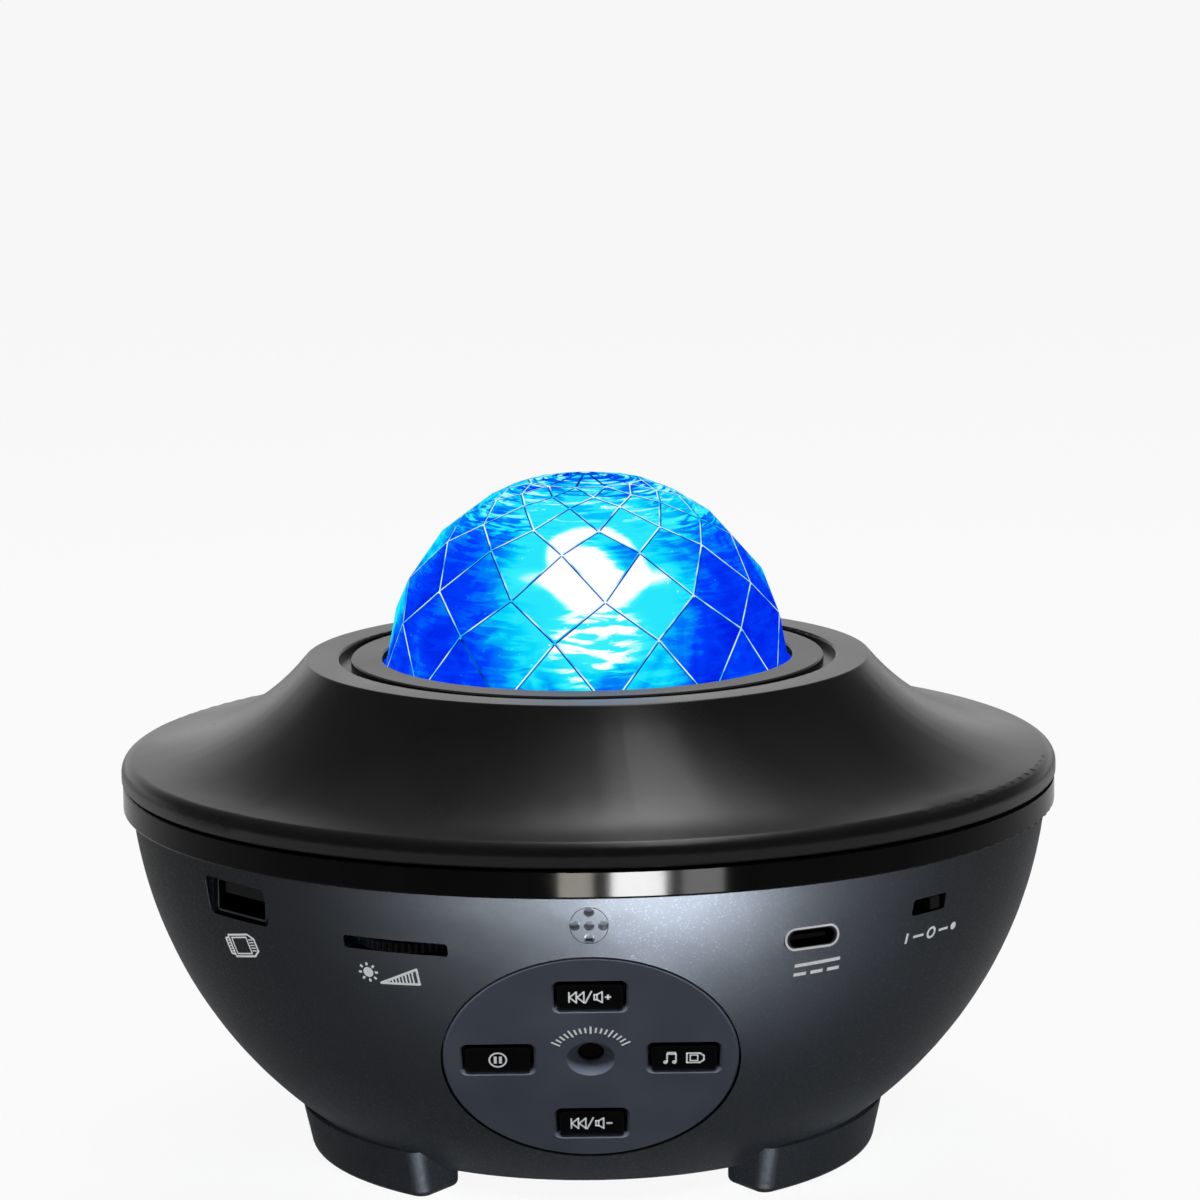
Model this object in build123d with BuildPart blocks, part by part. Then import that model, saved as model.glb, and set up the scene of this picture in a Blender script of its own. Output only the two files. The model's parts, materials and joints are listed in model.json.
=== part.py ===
from build123d import *
import os
from math import acos, asin, cos, degrees, radians, sin, sqrt, tan

# Star night light projector: a bowl on three feet, a flared lid and a faceted dome over a lamp.
# Millimetres. The origin is on the axis at the table, the keys face -Y and +Z is up.
# An azimuth is in degrees from the front (-Y), positive towards +X.

# ------------------------------------------------------------------ fits
slip_gap = 0.1  # between pieces that drop into each other
joint_gap = 0.25  # seam that stays open to the eye
shaft_gap = 0.05  # radial running clearance

# ------------------------------------------------------------------ bowl
bowl_arc_radius = 77.0  # section of the bowl's wall, one arc from its floor to the band's seat
bowl_floor_radius = 44.32
bowl_seat_radius = 80.6
bowl_wall = 2.2
bowl_floor_height = 4.4
bowl_floor_round = 1.5
band_seat_height = 62.2
band_seat_width = 2.0
spigot_wall = 2.2

# ------------------------------------------------------------------ feet and their pads
foot_count = 3
foot_azimuth = 60.0
foot_span = 50.0
foot_inner_radius = 39.0
foot_toe_radius = 50.1
foot_lean = 12.5
foot_corner_round = 2.5
foot_toe_round = 1.2
pad_width = 6.6
pad_span = 32.0
pad_thickness = 1.6
pad_proud = 0.4

# ------------------------------------------------------------------ trim band and lid
band_height = 4.75
band_overhang = 1.6
band_edge_round = 0.4
lid_height = 20.4
lid_top_radius = 49.74
lid_wall = 2.2
lid_edge_round = 0.5
flare_radius = 44.0
rim_overhang = 0.2  # of the rim over the band
rim_round = 2.4
rim_height = 4.1
rim_lead = 0.35  # chamfer at its foot
tongue_wall = 1.8
tongue_depth = 4.45
groove_width = 2.12
groove_depth = 1.5
bezel_width = 5.45

# ------------------------------------------------------------------ dome
dome_radius = 36.1
dome_sink = 3.7  # sphere's centre below the lid's top
dome_wall = 2.8
dome_facets = 12
dome_turn = -9.0  # azimuth of a corner in the first ring above the bezel
first_corner_height = 11.4  # above the sphere's centre
second_corner_height = 17.95
dome_flange_width = 2.3
dome_flange_thickness = 1.2

# ------------------------------------------------------------------ control panel and keys
panel_drop = 5.42  # upper edge of the panel below the microphone
panel_height = 47.5
panel_widening = 1.04
panel_thickness = 2.0
panel_gap = 0.35
panel_seat_width = 1.8
panel_seat_thickness = 2.4
panel_edge_chamfer = 0.3
key_width = 10.9
key_height = 5.7
key_round = 1.0
key_gap = 0.45
key_hole_chamfer = 0.4
key_lift = 0.2  # between the key's flange and the panel
key_travel = 0.6
key_flange = 0.95
key_flange_thickness = 0.85
key_stem_radius = 1.6
key_upper = 14.5  # keys' centres from the panel's centre
key_lower = 15.5
key_side = 15.3
receiver_dish_radius = 4.0
receiver_hole_radius = 2.2
receiver_dish_depth = 1.5
window_radius = 3.6
window_thickness = 0.8
key_board_depth = 7.0
key_board_width = 34.0
key_board_height = 31.0
key_board_round = 6.0
circuit_thickness = 1.2
panel_boss_radius = 2.6
panel_boss_side = 13.5
panel_boss_rise = 11.5
tact_size = 6.0
tact_height = 2.6
receiver_size = 5.0
receiver_height = 2.6
receiver_lens_radius = 1.6

# ------------------------------------------------------------------ main board
board_drop = 12.8  # top of the board below the band's seat
board_thickness = 1.6
board_gap = 1.9  # between the board and the bowl's wall
board_back = 8.0  # the board ends this far in front of the axis
board_notch_width = 56.0
board_notch_front = 60.0
board_post_radius = 3.5
inner_post_place = 60.0
inner_post_azimuth = 36.0
outer_post_place = 62.0
outer_post_azimuth = 75.0
capacitor_radius = 4.0
capacitor_height = 9.0
capacitor_place = 27.0
capacitor_azimuth = 22.0
chip_pack_width = 10.0
chip_pack_height = 1.8
chip_pack_place = 40.0
chip_pack_azimuth = 40.0
coil_pack_width = 9.0
coil_pack_height = 4.5

# ------------------------------------------------------------------ outlet, inlet, dimmer, switch, microphone
outlet_azimuth = -47.7
outlet_rise = 6.6  # centre above the board
outlet_width = 15.7
outlet_height = 6.7
outlet_recess = 1.6
outlet_round = 1.2
shell_width = 13.1
shell_height = 5.7
shell_wall = 0.35
shell_length = 14.0
shell_base_length = 9.0
plug_tongue_width = 10.6
plug_tongue_thickness = 1.9
plug_tongue_length = 10.0
inlet_azimuth = 27.3
inlet_rise = 3.3
inlet_width = 10.3
inlet_height = 3.9
inlet_rim_length = 1.4
inlet_shell_width = 9.0
inlet_shell_height = 3.3
inlet_shell_wall = 0.3
inlet_length = 9.0
inlet_cavity_depth = 7.5
inlet_tongue_width = 6.7
inlet_tongue_thickness = 0.75
inlet_base_length = 2.6
dimmer_azimuth = -23.7
dimmer_rise = 3.1
dimmer_slot_width = 18.8
dimmer_slot_height = 2.2
dimmer_radius = 10.0
dimmer_thickness = 1.6
dimmer_proud = 0.8
dimmer_knurls = 54
dimmer_knurl_depth = 0.45
dimmer_pin_radius = 1.5
dimmer_body_radius = 4.0
dimmer_clip_radius = 2.8
dimmer_clip_thickness = 0.5
switch_azimuth = 45.3
switch_rise = 5.2
switch_slot_width = 8.4
switch_slot_height = 2.8
switch_step = 1.5  # between neighbouring positions, of three
switch_knob_width = 2.4
switch_knob_height = 2.0
switch_knob_sunk = 0.3
switch_block_width = 3.4
switch_block_height = 2.4
switch_block_depth = 2.4
switch_body_width = 11.0
switch_body_length = 5.2
switch_body_top = 2.8  # above the knob's centre
switch_front_wall = 0.8
mic_drop = 4.8  # below the band's seat
mic_insert_radius = 3.05
mic_hole_radius = 0.85
mic_hole_pitch = 2.3
mic_radius = 3.0
mic_length = 2.5

# ------------------------------------------------------------------ case screws, columns and posts
column_place = 45.0
column_radius = 4.6
column_drop = 2.2  # below the band's seat
column_shelf = 8.0  # plastic under the screw's head
column_bore_radius = 3.2
case_screw_radius = 1.5
case_screw_length = 16.0
case_screw_head_radius = 2.8
lid_post_radius = 4.0
screw_hole_gap = 0.2
small_screw_radius = 1.1
small_screw_head_radius = 2.1
head_share = 0.75  # head height over head radius

# ------------------------------------------------------------------ lamp deck and rotor
deck_drop = 19.6  # deck's upper face below the lid's top
deck_thickness = 2.0
deck_radius = 40.0
deck_ear_width = 11.0
deck_ear_azimuth = 30.0
collar_radius = 23.0
collar_wall = 2.2
thrust_height = 3.9
thrust_radius = 25.0
gear_module = 0.8
gear_teeth = 72
pinion_teeth = 18
gear_thickness = 4.0
gear_float = 0.1
gear_backlash = 0.12
pressure_angle = 20.0
retainer_radius = 24.2
retainer_thickness = 1.2
retainer_step = 1.0
lens_flange_inner = 25.6
lens_flange_outer = 28.2
lens_flange_thickness = 1.2
lens_crown = 17.0  # above the gear
lens_wall = 2.0
motor_azimuth = 120.0
motor_radius = 12.0
motor_length = 13.0
motor_ear_reach = 17.5
motor_ear_width = 7.0
motor_ear_thickness = 1.0
motor_boss_radius = 4.5
motor_boss_height = 1.5
motor_lobe = 22.0
shaft_radius = 1.5
shaft_depth = 6.0

# ------------------------------------------------------------------ lamp and star source
sink_radius = 19.0
sink_thickness = 2.0
lamp_board_radius = 18.0
chip_size = 3.0
chip_height = 0.8
chip_place = 2.4
lens_radius = 8.0
lens_height = 7.0
lens_hollow_radius = 5.6
lens_hollow_height = 2.4
laser_place = 13.5
laser_radius = 3.25
laser_length = 12.0
laser_bore_radius = 1.8
laser_bore_depth = 3.0
grating_thickness = 0.6

# ------------------------------------------------------------------ loudspeaker
grille_radius = 23.0
grille_thickness = 1.2
grille_ledge = 1.5
grille_slot_width = 1.6
grille_ring_radii = (6.0, 11.0, 16.0)
speaker_seat_rise = 2.0  # of the speaker's seat over the bowl's floor
speaker_seat_inner = 23.4
speaker_seat_outer = 27.5
speaker_radius = 26.0
speaker_flange_thickness = 1.2
speaker_bore = 22.8
speaker_depth = 10.4
speaker_back_radius = 15.5
speaker_sheet = 1.0
speaker_ear_place = 28.0
speaker_ear_radius = 3.4
speaker_post_radius = 2.8
speaker_window = 6.5
roll_radius = 1.8
roll_wall = 0.5
coil_radius = 8.0
coil_wall = 0.4
coil_gap = 0.6
cone_wall = 0.6
cone_depth = 6.8
magnet_radius = 16.0
magnet_height = 6.0
pole_plate = 2.0

# ================================================================== worked out from these
# The arc's centre lies at one radius from the edges of the floor and of the band's seat.
arc_run = bowl_seat_radius - bowl_floor_radius
arc_rise = band_seat_height - bowl_floor_height
arc_chord = sqrt(arc_run**2 + arc_rise**2)
arc_bow = sqrt(bowl_arc_radius**2 - (arc_chord / 2) ** 2) / arc_chord
bowl_arc_offset = (bowl_floor_radius + bowl_seat_radius) / 2 - arc_rise * arc_bow
bowl_arc_height = (bowl_floor_height + band_seat_height) / 2 + arc_run * arc_bow

CENTRED_UP = (Align.CENTER, Align.CENTER, Align.MIN)
CENTRED_DOWN = (Align.CENTER, Align.CENTER, Align.MAX)
DOWN = (0, 0, -1)


def bowl_radius(height, wall=0.0):
    """Radius of the bowl's wall at a height: the outside, or the inside for a wall's thickness."""
    return bowl_arc_offset + sqrt((bowl_arc_radius - wall) ** 2 - (bowl_arc_height - height) ** 2)


def polar(radius, azimuth, height=0.0):
    """Point at a radius and azimuth."""
    return (radius * sin(radians(azimuth)), -radius * cos(radians(azimuth)), height)

def around(radius, azimuth, count, height=0.0):
    """Points evenly spaced round the axis, the first at an azimuth."""
    return [polar(radius, azimuth + 360.0 * turn / count, height) for turn in range(count)]


def wall_plane(azimuth, height):
    """Plane on the bowl's wall: Z points straight out, X to the right as seen from outside."""
    turn = radians(azimuth)
    return Plane(
        origin=polar(bowl_radius(height), azimuth, height),
        x_dir=(cos(turn), sin(turn), 0),
        z_dir=(sin(turn), -cos(turn), 0),
    )


def looking_down(points):
    """Places for screws that are driven upwards, their heads below."""
    return [Plane(origin=point, z_dir=DOWN) for point in points]


def screw(radius, length, head_radius):
    """Pan head screw: the seat of its head at Z = 0, its shank below."""
    head_height = head_radius * head_share
    with BuildPart() as fastener:
        Cylinder(radius, length, align=CENTRED_DOWN)
        Cylinder(head_radius, head_height, align=CENTRED_UP)
        fillet(fastener.edges().sort_by(Axis.Z)[-1], head_height / 3)
        with BuildSketch(Plane.XY.offset(head_height)):
            Rectangle(head_radius, head_radius / 4)
            Rectangle(head_radius / 4, head_radius)
        extrude(amount=-head_height / 2, mode=Mode.SUBTRACT)
    return fastener.part


def involute(angle):
    """Involute function of a pressure angle in radians."""
    return tan(angle) - angle


def tooth_half_angle(teeth, radius):
    """Half the angle that a gear's tooth covers at a radius, in degrees."""
    pitch = gear_module * teeth / 2
    base = pitch * cos(radians(pressure_angle))
    lean = involute(radians(pressure_angle)) - involute(acos(base / max(radius, base)))
    return 90.0 / teeth + degrees(lean - gear_backlash / 4 / pitch)


def gear_profile(teeth, turn):
    """Outline of a spur gear, one tooth at an angle of turn degrees from +X."""
    pitch = gear_module * teeth / 2
    root = pitch - 1.25 * gear_module
    foot = root - 0.2 * gear_module
    flank = [(radius, tooth_half_angle(teeth, radius)) for radius in (root, pitch, pitch + gear_module)]
    with BuildSketch() as tooth:
        with BuildLine():
            right = [Vector(radius, 0).rotate(Axis.Z, -half) for radius, half in flank]
            left = [Vector(radius, 0).rotate(Axis.Z, half) for radius, half in flank]
            ThreePointArc(*right)
            Line(right[-1], left[-1])
            ThreePointArc(*reversed(left))
            Polyline(left[0], (foot, 0), right[0])
        make_face()
    with BuildSketch() as outline:
        Circle(root)
        with PolarLocations(0, teeth, start_angle=turn):
            add(tooth.sketch)
    return outline.sketch


# Heights
floor_top = bowl_floor_height + bowl_wall
band_top = band_seat_height + band_height
lid_foot = band_top + joint_gap
lid_top = lid_foot + lid_height
groove_floor = lid_top - groove_depth
dome_ledge = groove_floor - dome_flange_thickness
dome_centre = lid_top - dome_sink
deck_top = lid_top - deck_drop
deck_under = deck_top - deck_thickness
board_top = band_seat_height - board_drop
board_under = board_top - board_thickness
board_radius = bowl_radius(board_under, bowl_wall) - board_gap
mic_height = band_seat_height - mic_drop
column_top = band_seat_height - column_drop

# Radii
spigot_radius = bowl_seat_radius - band_seat_width
spigot_inner = spigot_radius - spigot_wall
spigot_top = band_top - 2 * slip_gap
band_radius = bowl_seat_radius + band_overhang
rim_radius = band_radius + rim_overhang
bezel_inner = dome_radius + slip_gap
bezel_outer = bezel_inner + bezel_width
groove_outer = bezel_outer + groove_width
dome_flange_radius = dome_radius + dome_flange_width
lid_opening = dome_radius + 5 * slip_gap

# ================================================================== bowl

# The control panel lies in the flat that a plane cuts from the front of the bowl.
# Its tilt, in degrees below level, sets its upper edge below the microphone.
panel_top = mic_height - panel_drop
panel_half_angle = degrees(asin(panel_height / 2 / bowl_arc_radius))
panel_tilt = panel_half_angle + degrees(asin((bowl_arc_height - panel_top) / bowl_arc_radius))
panel_depth = sqrt(bowl_arc_radius**2 - (panel_height / 2) ** 2)
panel_plane = Plane(
    origin=(
        0,
        -bowl_arc_offset - panel_depth * cos(radians(panel_tilt)),
        bowl_arc_height - panel_depth * sin(radians(panel_tilt)),
    ),
    x_dir=(1, 0, 0),
    z_dir=(0, -cos(radians(panel_tilt)), -sin(radians(panel_tilt))),
)
panel_half_height = panel_height / 2
panel_half_width = panel_half_height * panel_widening

outlet_plane = wall_plane(outlet_azimuth, board_top + outlet_rise)
inlet_plane = wall_plane(inlet_azimuth, board_top + inlet_rise)
dimmer_plane = wall_plane(dimmer_azimuth, board_top + dimmer_rise)
switch_plane = wall_plane(switch_azimuth, board_top + switch_rise)
mic_plane = wall_plane(0, mic_height)

column_spots = around(column_place, foot_azimuth, foot_count)
inner_post_spots = [polar(inner_post_place, side * inner_post_azimuth) for side in (-1, 1)]
outer_post_spots = [polar(outer_post_place, side * outer_post_azimuth) for side in (-1, 1)]
board_post_spots = inner_post_spots + outer_post_spots
speaker_ear_spots = around(speaker_ear_place, 0, 4)
speaker_seat = floor_top + speaker_seat_rise

# Full form of the bowl, without its hollow
with BuildPart() as bowl_form:
    with BuildSketch(Plane.XZ) as bowl_section:
        with BuildLine():
            middle = (bowl_floor_height + band_seat_height) / 2
            wall_top = (bowl_seat_radius, band_seat_height)
            ThreePointArc((bowl_floor_radius, bowl_floor_height), (bowl_radius(middle), middle), wall_top)
            Polyline(
                wall_top,
                (spigot_radius, band_seat_height),
                (spigot_radius, spigot_top),
                (0, spigot_top),
                (0, bowl_floor_height),
                (bowl_floor_radius, bowl_floor_height),
            )
        make_face()
        fillet(bowl_section.vertices().group_by(Axis.Y)[0].sort_by(Axis.X)[-1], bowl_floor_round)
    revolve()

# Hollow of the bowl, with its columns, posts and seats left standing
with BuildPart() as bowl_hollow:
    with BuildSketch(Plane.XZ):
        with BuildLine():
            upright = bowl_arc_radius - bowl_wall
            turn_height = bowl_arc_height - sqrt(upright**2 - (spigot_inner - bowl_arc_offset) ** 2)
            middle = (floor_top + turn_height) / 2
            start = (bowl_radius(floor_top, bowl_wall), floor_top)
            ThreePointArc(start, (bowl_radius(middle, bowl_wall), middle), (spigot_inner, turn_height))
            Polyline(
                (spigot_inner, turn_height),
                (spigot_inner, spigot_top),
                (0, spigot_top),
                (0, floor_top),
                start,
            )
        make_face()
    revolve()
    with BuildSketch():
        with Locations(*column_spots):
            Circle(column_radius)
    extrude(amount=column_top, mode=Mode.SUBTRACT)
    with BuildSketch():
        with Locations(*board_post_spots):
            Circle(board_post_radius)
    extrude(amount=board_under, mode=Mode.SUBTRACT)
    with BuildSketch():
        Circle(speaker_seat_outer)
        Circle(speaker_seat_inner, mode=Mode.SUBTRACT)
        with Locations(*speaker_ear_spots):
            Circle(speaker_post_radius)
    extrude(amount=speaker_seat, mode=Mode.SUBTRACT)
    with BuildSketch(panel_plane.offset(-panel_thickness)):
        Ellipse(panel_half_width + panel_seat_width, panel_half_height + panel_seat_width)
    extrude(amount=-panel_seat_thickness, mode=Mode.SUBTRACT)

# One foot: its outer wall leans out to meet the bowl
with BuildPart() as foot:
    with BuildSketch(Plane.XZ):
        foot_top = bowl_floor_height + 2 * bowl_wall
        foot_under = pad_proud
        lean = (foot_top - foot_under) * tan(radians(foot_lean))
        Polygon(
            (foot_inner_radius, foot_under),
            (foot_toe_radius, foot_under),
            (foot_toe_radius + lean, foot_top),
            (foot_inner_radius, foot_top),
            align=None,
        )
    revolve(revolution_arc=foot_span)
    uprights = foot.edges().filter_by(lambda edge: abs((edge @ 0).Z - (edge @ 1).Z) > foot_top / 2)
    fillet(uprights, foot_corner_round)
    fillet(foot.faces().sort_by(Axis.Z)[0].outer_wire().edges(), foot_toe_round)

pad_arc = CenterArc((0, 0), column_place, -pad_span / 2, pad_span)

with BuildPart() as bowl_housing:
    add(bowl_form.part)
    with PolarLocations(0, foot_count, start_angle=foot_azimuth - 90 - foot_span / 2):
        add(foot.part)
    add(bowl_hollow.part, mode=Mode.SUBTRACT)

    # Pads, screw access and screw holes in the feet and columns
    with BuildSketch():
        with PolarLocations(0, foot_count, start_angle=foot_azimuth - 90):
            SlotArc(pad_arc, pad_width + 2 * slip_gap)
    extrude(amount=pad_thickness, mode=Mode.SUBTRACT)
    with BuildSketch():
        with Locations(*column_spots):
            Circle(column_bore_radius)
    extrude(amount=column_top - column_shelf, mode=Mode.SUBTRACT)
    with BuildSketch():
        with Locations(*column_spots):
            Circle(case_screw_radius + screw_hole_gap)
    extrude(amount=column_top, mode=Mode.SUBTRACT)

    # Opening and ledge for the loudspeaker's grille
    with BuildSketch():
        Circle(grille_radius + slip_gap)
    extrude(amount=bowl_floor_height + grille_thickness, mode=Mode.SUBTRACT)
    with BuildSketch():
        Circle(grille_radius - grille_ledge)
    extrude(amount=floor_top, mode=Mode.SUBTRACT)

    # Pilot holes for the speaker's and the main board's screws
    with BuildSketch(Plane.XY.offset(bowl_floor_height + bowl_wall / 2)):
        with Locations(*speaker_ear_spots):
            Circle(small_screw_radius)
    extrude(amount=speaker_seat, mode=Mode.SUBTRACT)
    with BuildSketch(Plane.XY.offset(board_under)):
        with Locations(*board_post_spots):
            Circle(small_screw_radius)
    extrude(amount=-6 * small_screw_radius, mode=Mode.SUBTRACT)

    # Seat and opening for the control panel
    with BuildSketch(panel_plane.offset(panel_half_height)):
        Ellipse(panel_half_width, panel_half_height)
    extrude(amount=-panel_half_height - panel_thickness, mode=Mode.SUBTRACT)
    with BuildSketch(panel_plane):
        Ellipse(panel_half_width - panel_seat_width, panel_half_height - panel_seat_width)
    extrude(amount=-3 * panel_seat_thickness, mode=Mode.SUBTRACT)

    # Outlet, inlet, dimmer slot, switch slot and microphone hole
    wall_reach = 3 * bowl_wall
    with BuildSketch(outlet_plane):
        RectangleRounded(outlet_width, outlet_height, outlet_round)
    extrude(amount=wall_reach, mode=Mode.SUBTRACT)
    with BuildSketch(outlet_plane):
        RectangleRounded(outlet_width, outlet_height, outlet_round)
    extrude(amount=-outlet_recess, mode=Mode.SUBTRACT)
    with BuildSketch(outlet_plane):
        RectangleRounded(shell_width + 4 * slip_gap, shell_height + 4 * slip_gap, outlet_round / 2)
    extrude(amount=-wall_reach, mode=Mode.SUBTRACT)
    with BuildSketch(inlet_plane):
        SlotOverall(inlet_width, inlet_height)
    extrude(amount=wall_reach, both=True, mode=Mode.SUBTRACT)
    with BuildSketch(dimmer_plane):
        RectangleRounded(dimmer_slot_width, dimmer_slot_height, dimmer_slot_height / 4)
    extrude(amount=wall_reach, both=True, mode=Mode.SUBTRACT)
    with BuildSketch(switch_plane):
        RectangleRounded(switch_slot_width, switch_slot_height, switch_slot_height / 5)
    extrude(amount=wall_reach, both=True, mode=Mode.SUBTRACT)
    with BuildSketch(mic_plane):
        Circle(mic_insert_radius + slip_gap)
    extrude(amount=wall_reach, both=True, mode=Mode.SUBTRACT)

# ================================================================== feet's pads and case screws
with BuildPart() as foot_pads:
    with BuildSketch():
        with PolarLocations(0, foot_count, start_angle=foot_azimuth - 90):
            SlotArc(pad_arc, pad_width)
    extrude(amount=pad_thickness)

with BuildPart() as case_screws:
    shelf_spots = [(x, y, column_top - column_shelf) for x, y, _ in column_spots]
    with Locations(*looking_down(shelf_spots)):
        add(screw(case_screw_radius, case_screw_length, case_screw_head_radius))

# ================================================================== trim band
with BuildPart() as trim_band:
    with BuildSketch(Plane.XZ) as band_section:
        with Locations((spigot_radius + slip_gap, band_seat_height)):
            band_width = band_radius - spigot_radius - slip_gap
            Rectangle(band_width, band_height, align=(Align.MIN, Align.MIN))
        fillet(band_section.vertices().group_by(Axis.X)[-1], band_edge_round)
    revolve()

# ================================================================== lid
crease = (rim_radius - rim_round, lid_foot + rim_height)
shoulder = (lid_top_radius, lid_top)
chord = Vector(*crease) - Vector(*shoulder)
flare_rise = sqrt(flare_radius**2 - (chord.length / 2) ** 2)
flare_centre = (
    (crease[0] + shoulder[0]) / 2 - flare_rise * chord.Y / chord.length,
    (crease[1] + shoulder[1]) / 2 + flare_rise * chord.X / chord.length,
)


def flare_at_height(height, wall=0.0):
    """Radius of the lid's flare at a height, outside or a wall further in."""
    return flare_centre[0] - sqrt((flare_radius + wall) ** 2 - (flare_centre[1] - height) ** 2)


def flare_at_radius(radius, wall=0.0):
    """Height of the lid's flare at a radius, outside or a wall further in."""
    return flare_centre[1] - sqrt((flare_radius + wall) ** 2 - (flare_centre[0] - radius) ** 2)


lid_post_spots = column_spots
deck_screw_spots = around(column_place, deck_ear_azimuth, 3)
roof_under = groove_floor - lid_wall
ledge_under = dome_ledge - lid_wall
ledge_width = groove_width
tongue_outer = spigot_inner - 2 * slip_gap
tongue_inner = tongue_outer - tongue_wall
tongue_root = flare_at_radius(tongue_inner, lid_wall)
roof_radius = flare_at_height(roof_under, lid_wall)

with BuildPart() as lid:
    with BuildSketch(Plane.XZ) as lid_section:
        with BuildLine():
            middle = (shoulder[0] + crease[0]) / 2
            ThreePointArc(shoulder, (middle, flare_at_radius(middle)), crease)
            rim_side = (rim_radius, crease[1] - rim_round)
            rim_bulge = (crease[0] + rim_round * sin(radians(45)), rim_side[1] + rim_round * cos(radians(45)))
            ThreePointArc(crease, rim_bulge, rim_side)
            Polyline(
                rim_side,
                (rim_radius, lid_foot + rim_lead),
                (rim_radius - rim_lead, lid_foot),
                (band_radius - band_overhang, lid_foot),
                (band_radius - band_overhang, band_top),
                (tongue_outer, band_top),
                (tongue_outer, band_top - tongue_depth),
                (tongue_inner, band_top - tongue_depth),
                (tongue_inner, tongue_root),
            )
            middle = (tongue_inner + roof_radius) / 2
            ThreePointArc(
                (tongue_inner, tongue_root),
                (middle, flare_at_radius(middle, lid_wall)),
                (roof_radius, roof_under),
            )
            Polyline(
                (roof_radius, roof_under),
                (dome_flange_radius + ledge_width, roof_under),
                (dome_flange_radius + ledge_width, ledge_under),
                (lid_opening, ledge_under),
                (lid_opening, dome_ledge),
                (dome_flange_radius + slip_gap, dome_ledge),
                (dome_flange_radius + slip_gap, groove_floor),
                (groove_outer, groove_floor),
                (groove_outer, lid_top),
                shoulder,
            )
        make_face()
        fillet(lid_section.vertices().group_by(Axis.Y)[-1], lid_edge_round)
    revolve()
    # Posts that meet the bowl's columns, and bosses that carry the lamp deck
    with BuildSketch(Plane.XY.offset(column_top)):
        with Locations(*lid_post_spots):
            Circle(lid_post_radius)
    extrude(amount=roof_under + lid_wall / 2 - column_top)
    with BuildSketch(Plane.XY.offset(deck_top)):
        with Locations(*deck_screw_spots):
            Circle(lid_post_radius)
    extrude(amount=roof_under + lid_wall / 2 - deck_top)
    with BuildSketch(Plane.XY.offset(column_top)):
        with Locations(*lid_post_spots):
            Circle(case_screw_radius)
    extrude(amount=case_screw_length - column_shelf + case_screw_radius, mode=Mode.SUBTRACT)
    with BuildSketch(Plane.XY.offset(deck_top)):
        with Locations(*deck_screw_spots):
            Circle(small_screw_radius)
    extrude(amount=8 * small_screw_radius, mode=Mode.SUBTRACT)

with BuildPart() as dome_bezel:
    with BuildSketch(Plane.XZ) as bezel_section:
        with Locations((bezel_inner, groove_floor)):
            Rectangle(bezel_width, groove_depth, align=(Align.MIN, Align.MIN))
        chamfer(bezel_section.vertices().group_by(Axis.Y)[-1], lid_edge_round / 2)
    revolve()

# ================================================================== faceted dome
half_step = radians(180.0 / dome_facets)


def on_sphere(height):
    """Radius and height of a ring of corners on the dome's sphere."""
    return (sqrt(dome_radius**2 - height**2), height)


def next_ring(first, second):
    """Ring where the flat diamonds that stand on two rings of corners reach the sphere again."""
    run = second[0] * cos(half_step) - first[0]
    rise = second[1] - first[1]
    reach = -2 * (first[0] * run + first[1] * rise) / (run**2 + rise**2)
    return (first[0] + run * reach, first[1] + rise * reach)


rings = [on_sphere(first_corner_height), on_sphere(second_corner_height)]
rings.insert(0, next_ring(rings[1], rings[0]))
while rings[-1][0] > dome_radius / 3.2:
    rings.append(next_ring(rings[-2], rings[-1]))


def corner(ring, step):
    """Corner of a ring, counted in half facets from the first one."""
    radius, height = rings[ring]
    azimuth = dome_turn + degrees(half_step) * step
    return Vector(*polar(radius, azimuth, dome_centre + height))


facets = []
last = len(rings) - 1
apex = Vector(0, 0, dome_centre + dome_radius)
for facet in range(dome_facets):
    for ring in range(last - 1):
        step = 2 * facet + (ring + 1) % 2
        outline = [
            corner(ring, step),
            corner(ring + 1, step + 1),
            corner(ring + 2, step),
            corner(ring + 1, step - 1),
        ]
        facets.append(Face(Wire.make_polygon(outline)))
    step = 2 * facet
    low = [corner(0, step - 1), corner(0, step + 1), corner(1, step)]
    facets.append(Face(Wire.make_polygon(low)))
    step = 2 * facet + (last + 1) % 2
    crown = [corner(last - 1, step + 1), corner(last, step + 2), corner(last, step)]
    facets.append(Face(Wire.make_polygon(crown)))
    facets.append(Face(Wire.make_polygon([corner(last, step), corner(last, step + 2), apex])))
facets.append(Face(Wire.make_polygon([corner(0, 2 * facet + 1) for facet in range(dome_facets)])))
cut_stone = Solid(Shell(facets))
dome_foot = dome_centre + rings[0][1]
dome_inner = dome_radius - dome_wall

with BuildPart() as faceted_dome:
    add(cut_stone)
    with BuildSketch(Plane.XY.offset(dome_ledge)):
        Circle(dome_flange_radius)
    extrude(amount=dome_flange_thickness)
    with BuildSketch(Plane.XZ):
        with BuildLine():
            CenterArc((0, dome_centre), dome_inner, 0, 90)
            Polyline(
                (0, dome_centre + dome_inner),
                (0, dome_foot - dome_wall),
                (dome_inner, dome_foot - dome_wall),
                (dome_inner, dome_centre),
            )
        make_face()
    revolve(mode=Mode.SUBTRACT)

# ================================================================== lamp deck and rotor
motor_place = gear_module * (gear_teeth + pinion_teeth) / 2
motor_spot = polar(motor_place, motor_azimuth)
motor_plane = Plane(
    origin=polar(motor_place, motor_azimuth, deck_under),
    x_dir=(cos(radians(motor_azimuth)), sin(radians(motor_azimuth)), 0),
    z_dir=(0, 0, 1),
)
collar_inner = collar_radius - collar_wall
thrust_top = deck_top + thrust_height
gear_under = thrust_top + gear_float
gear_top = gear_under + gear_thickness
collar_top = gear_top + retainer_step + gear_float
retainer_inner = collar_radius - retainer_step

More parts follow.
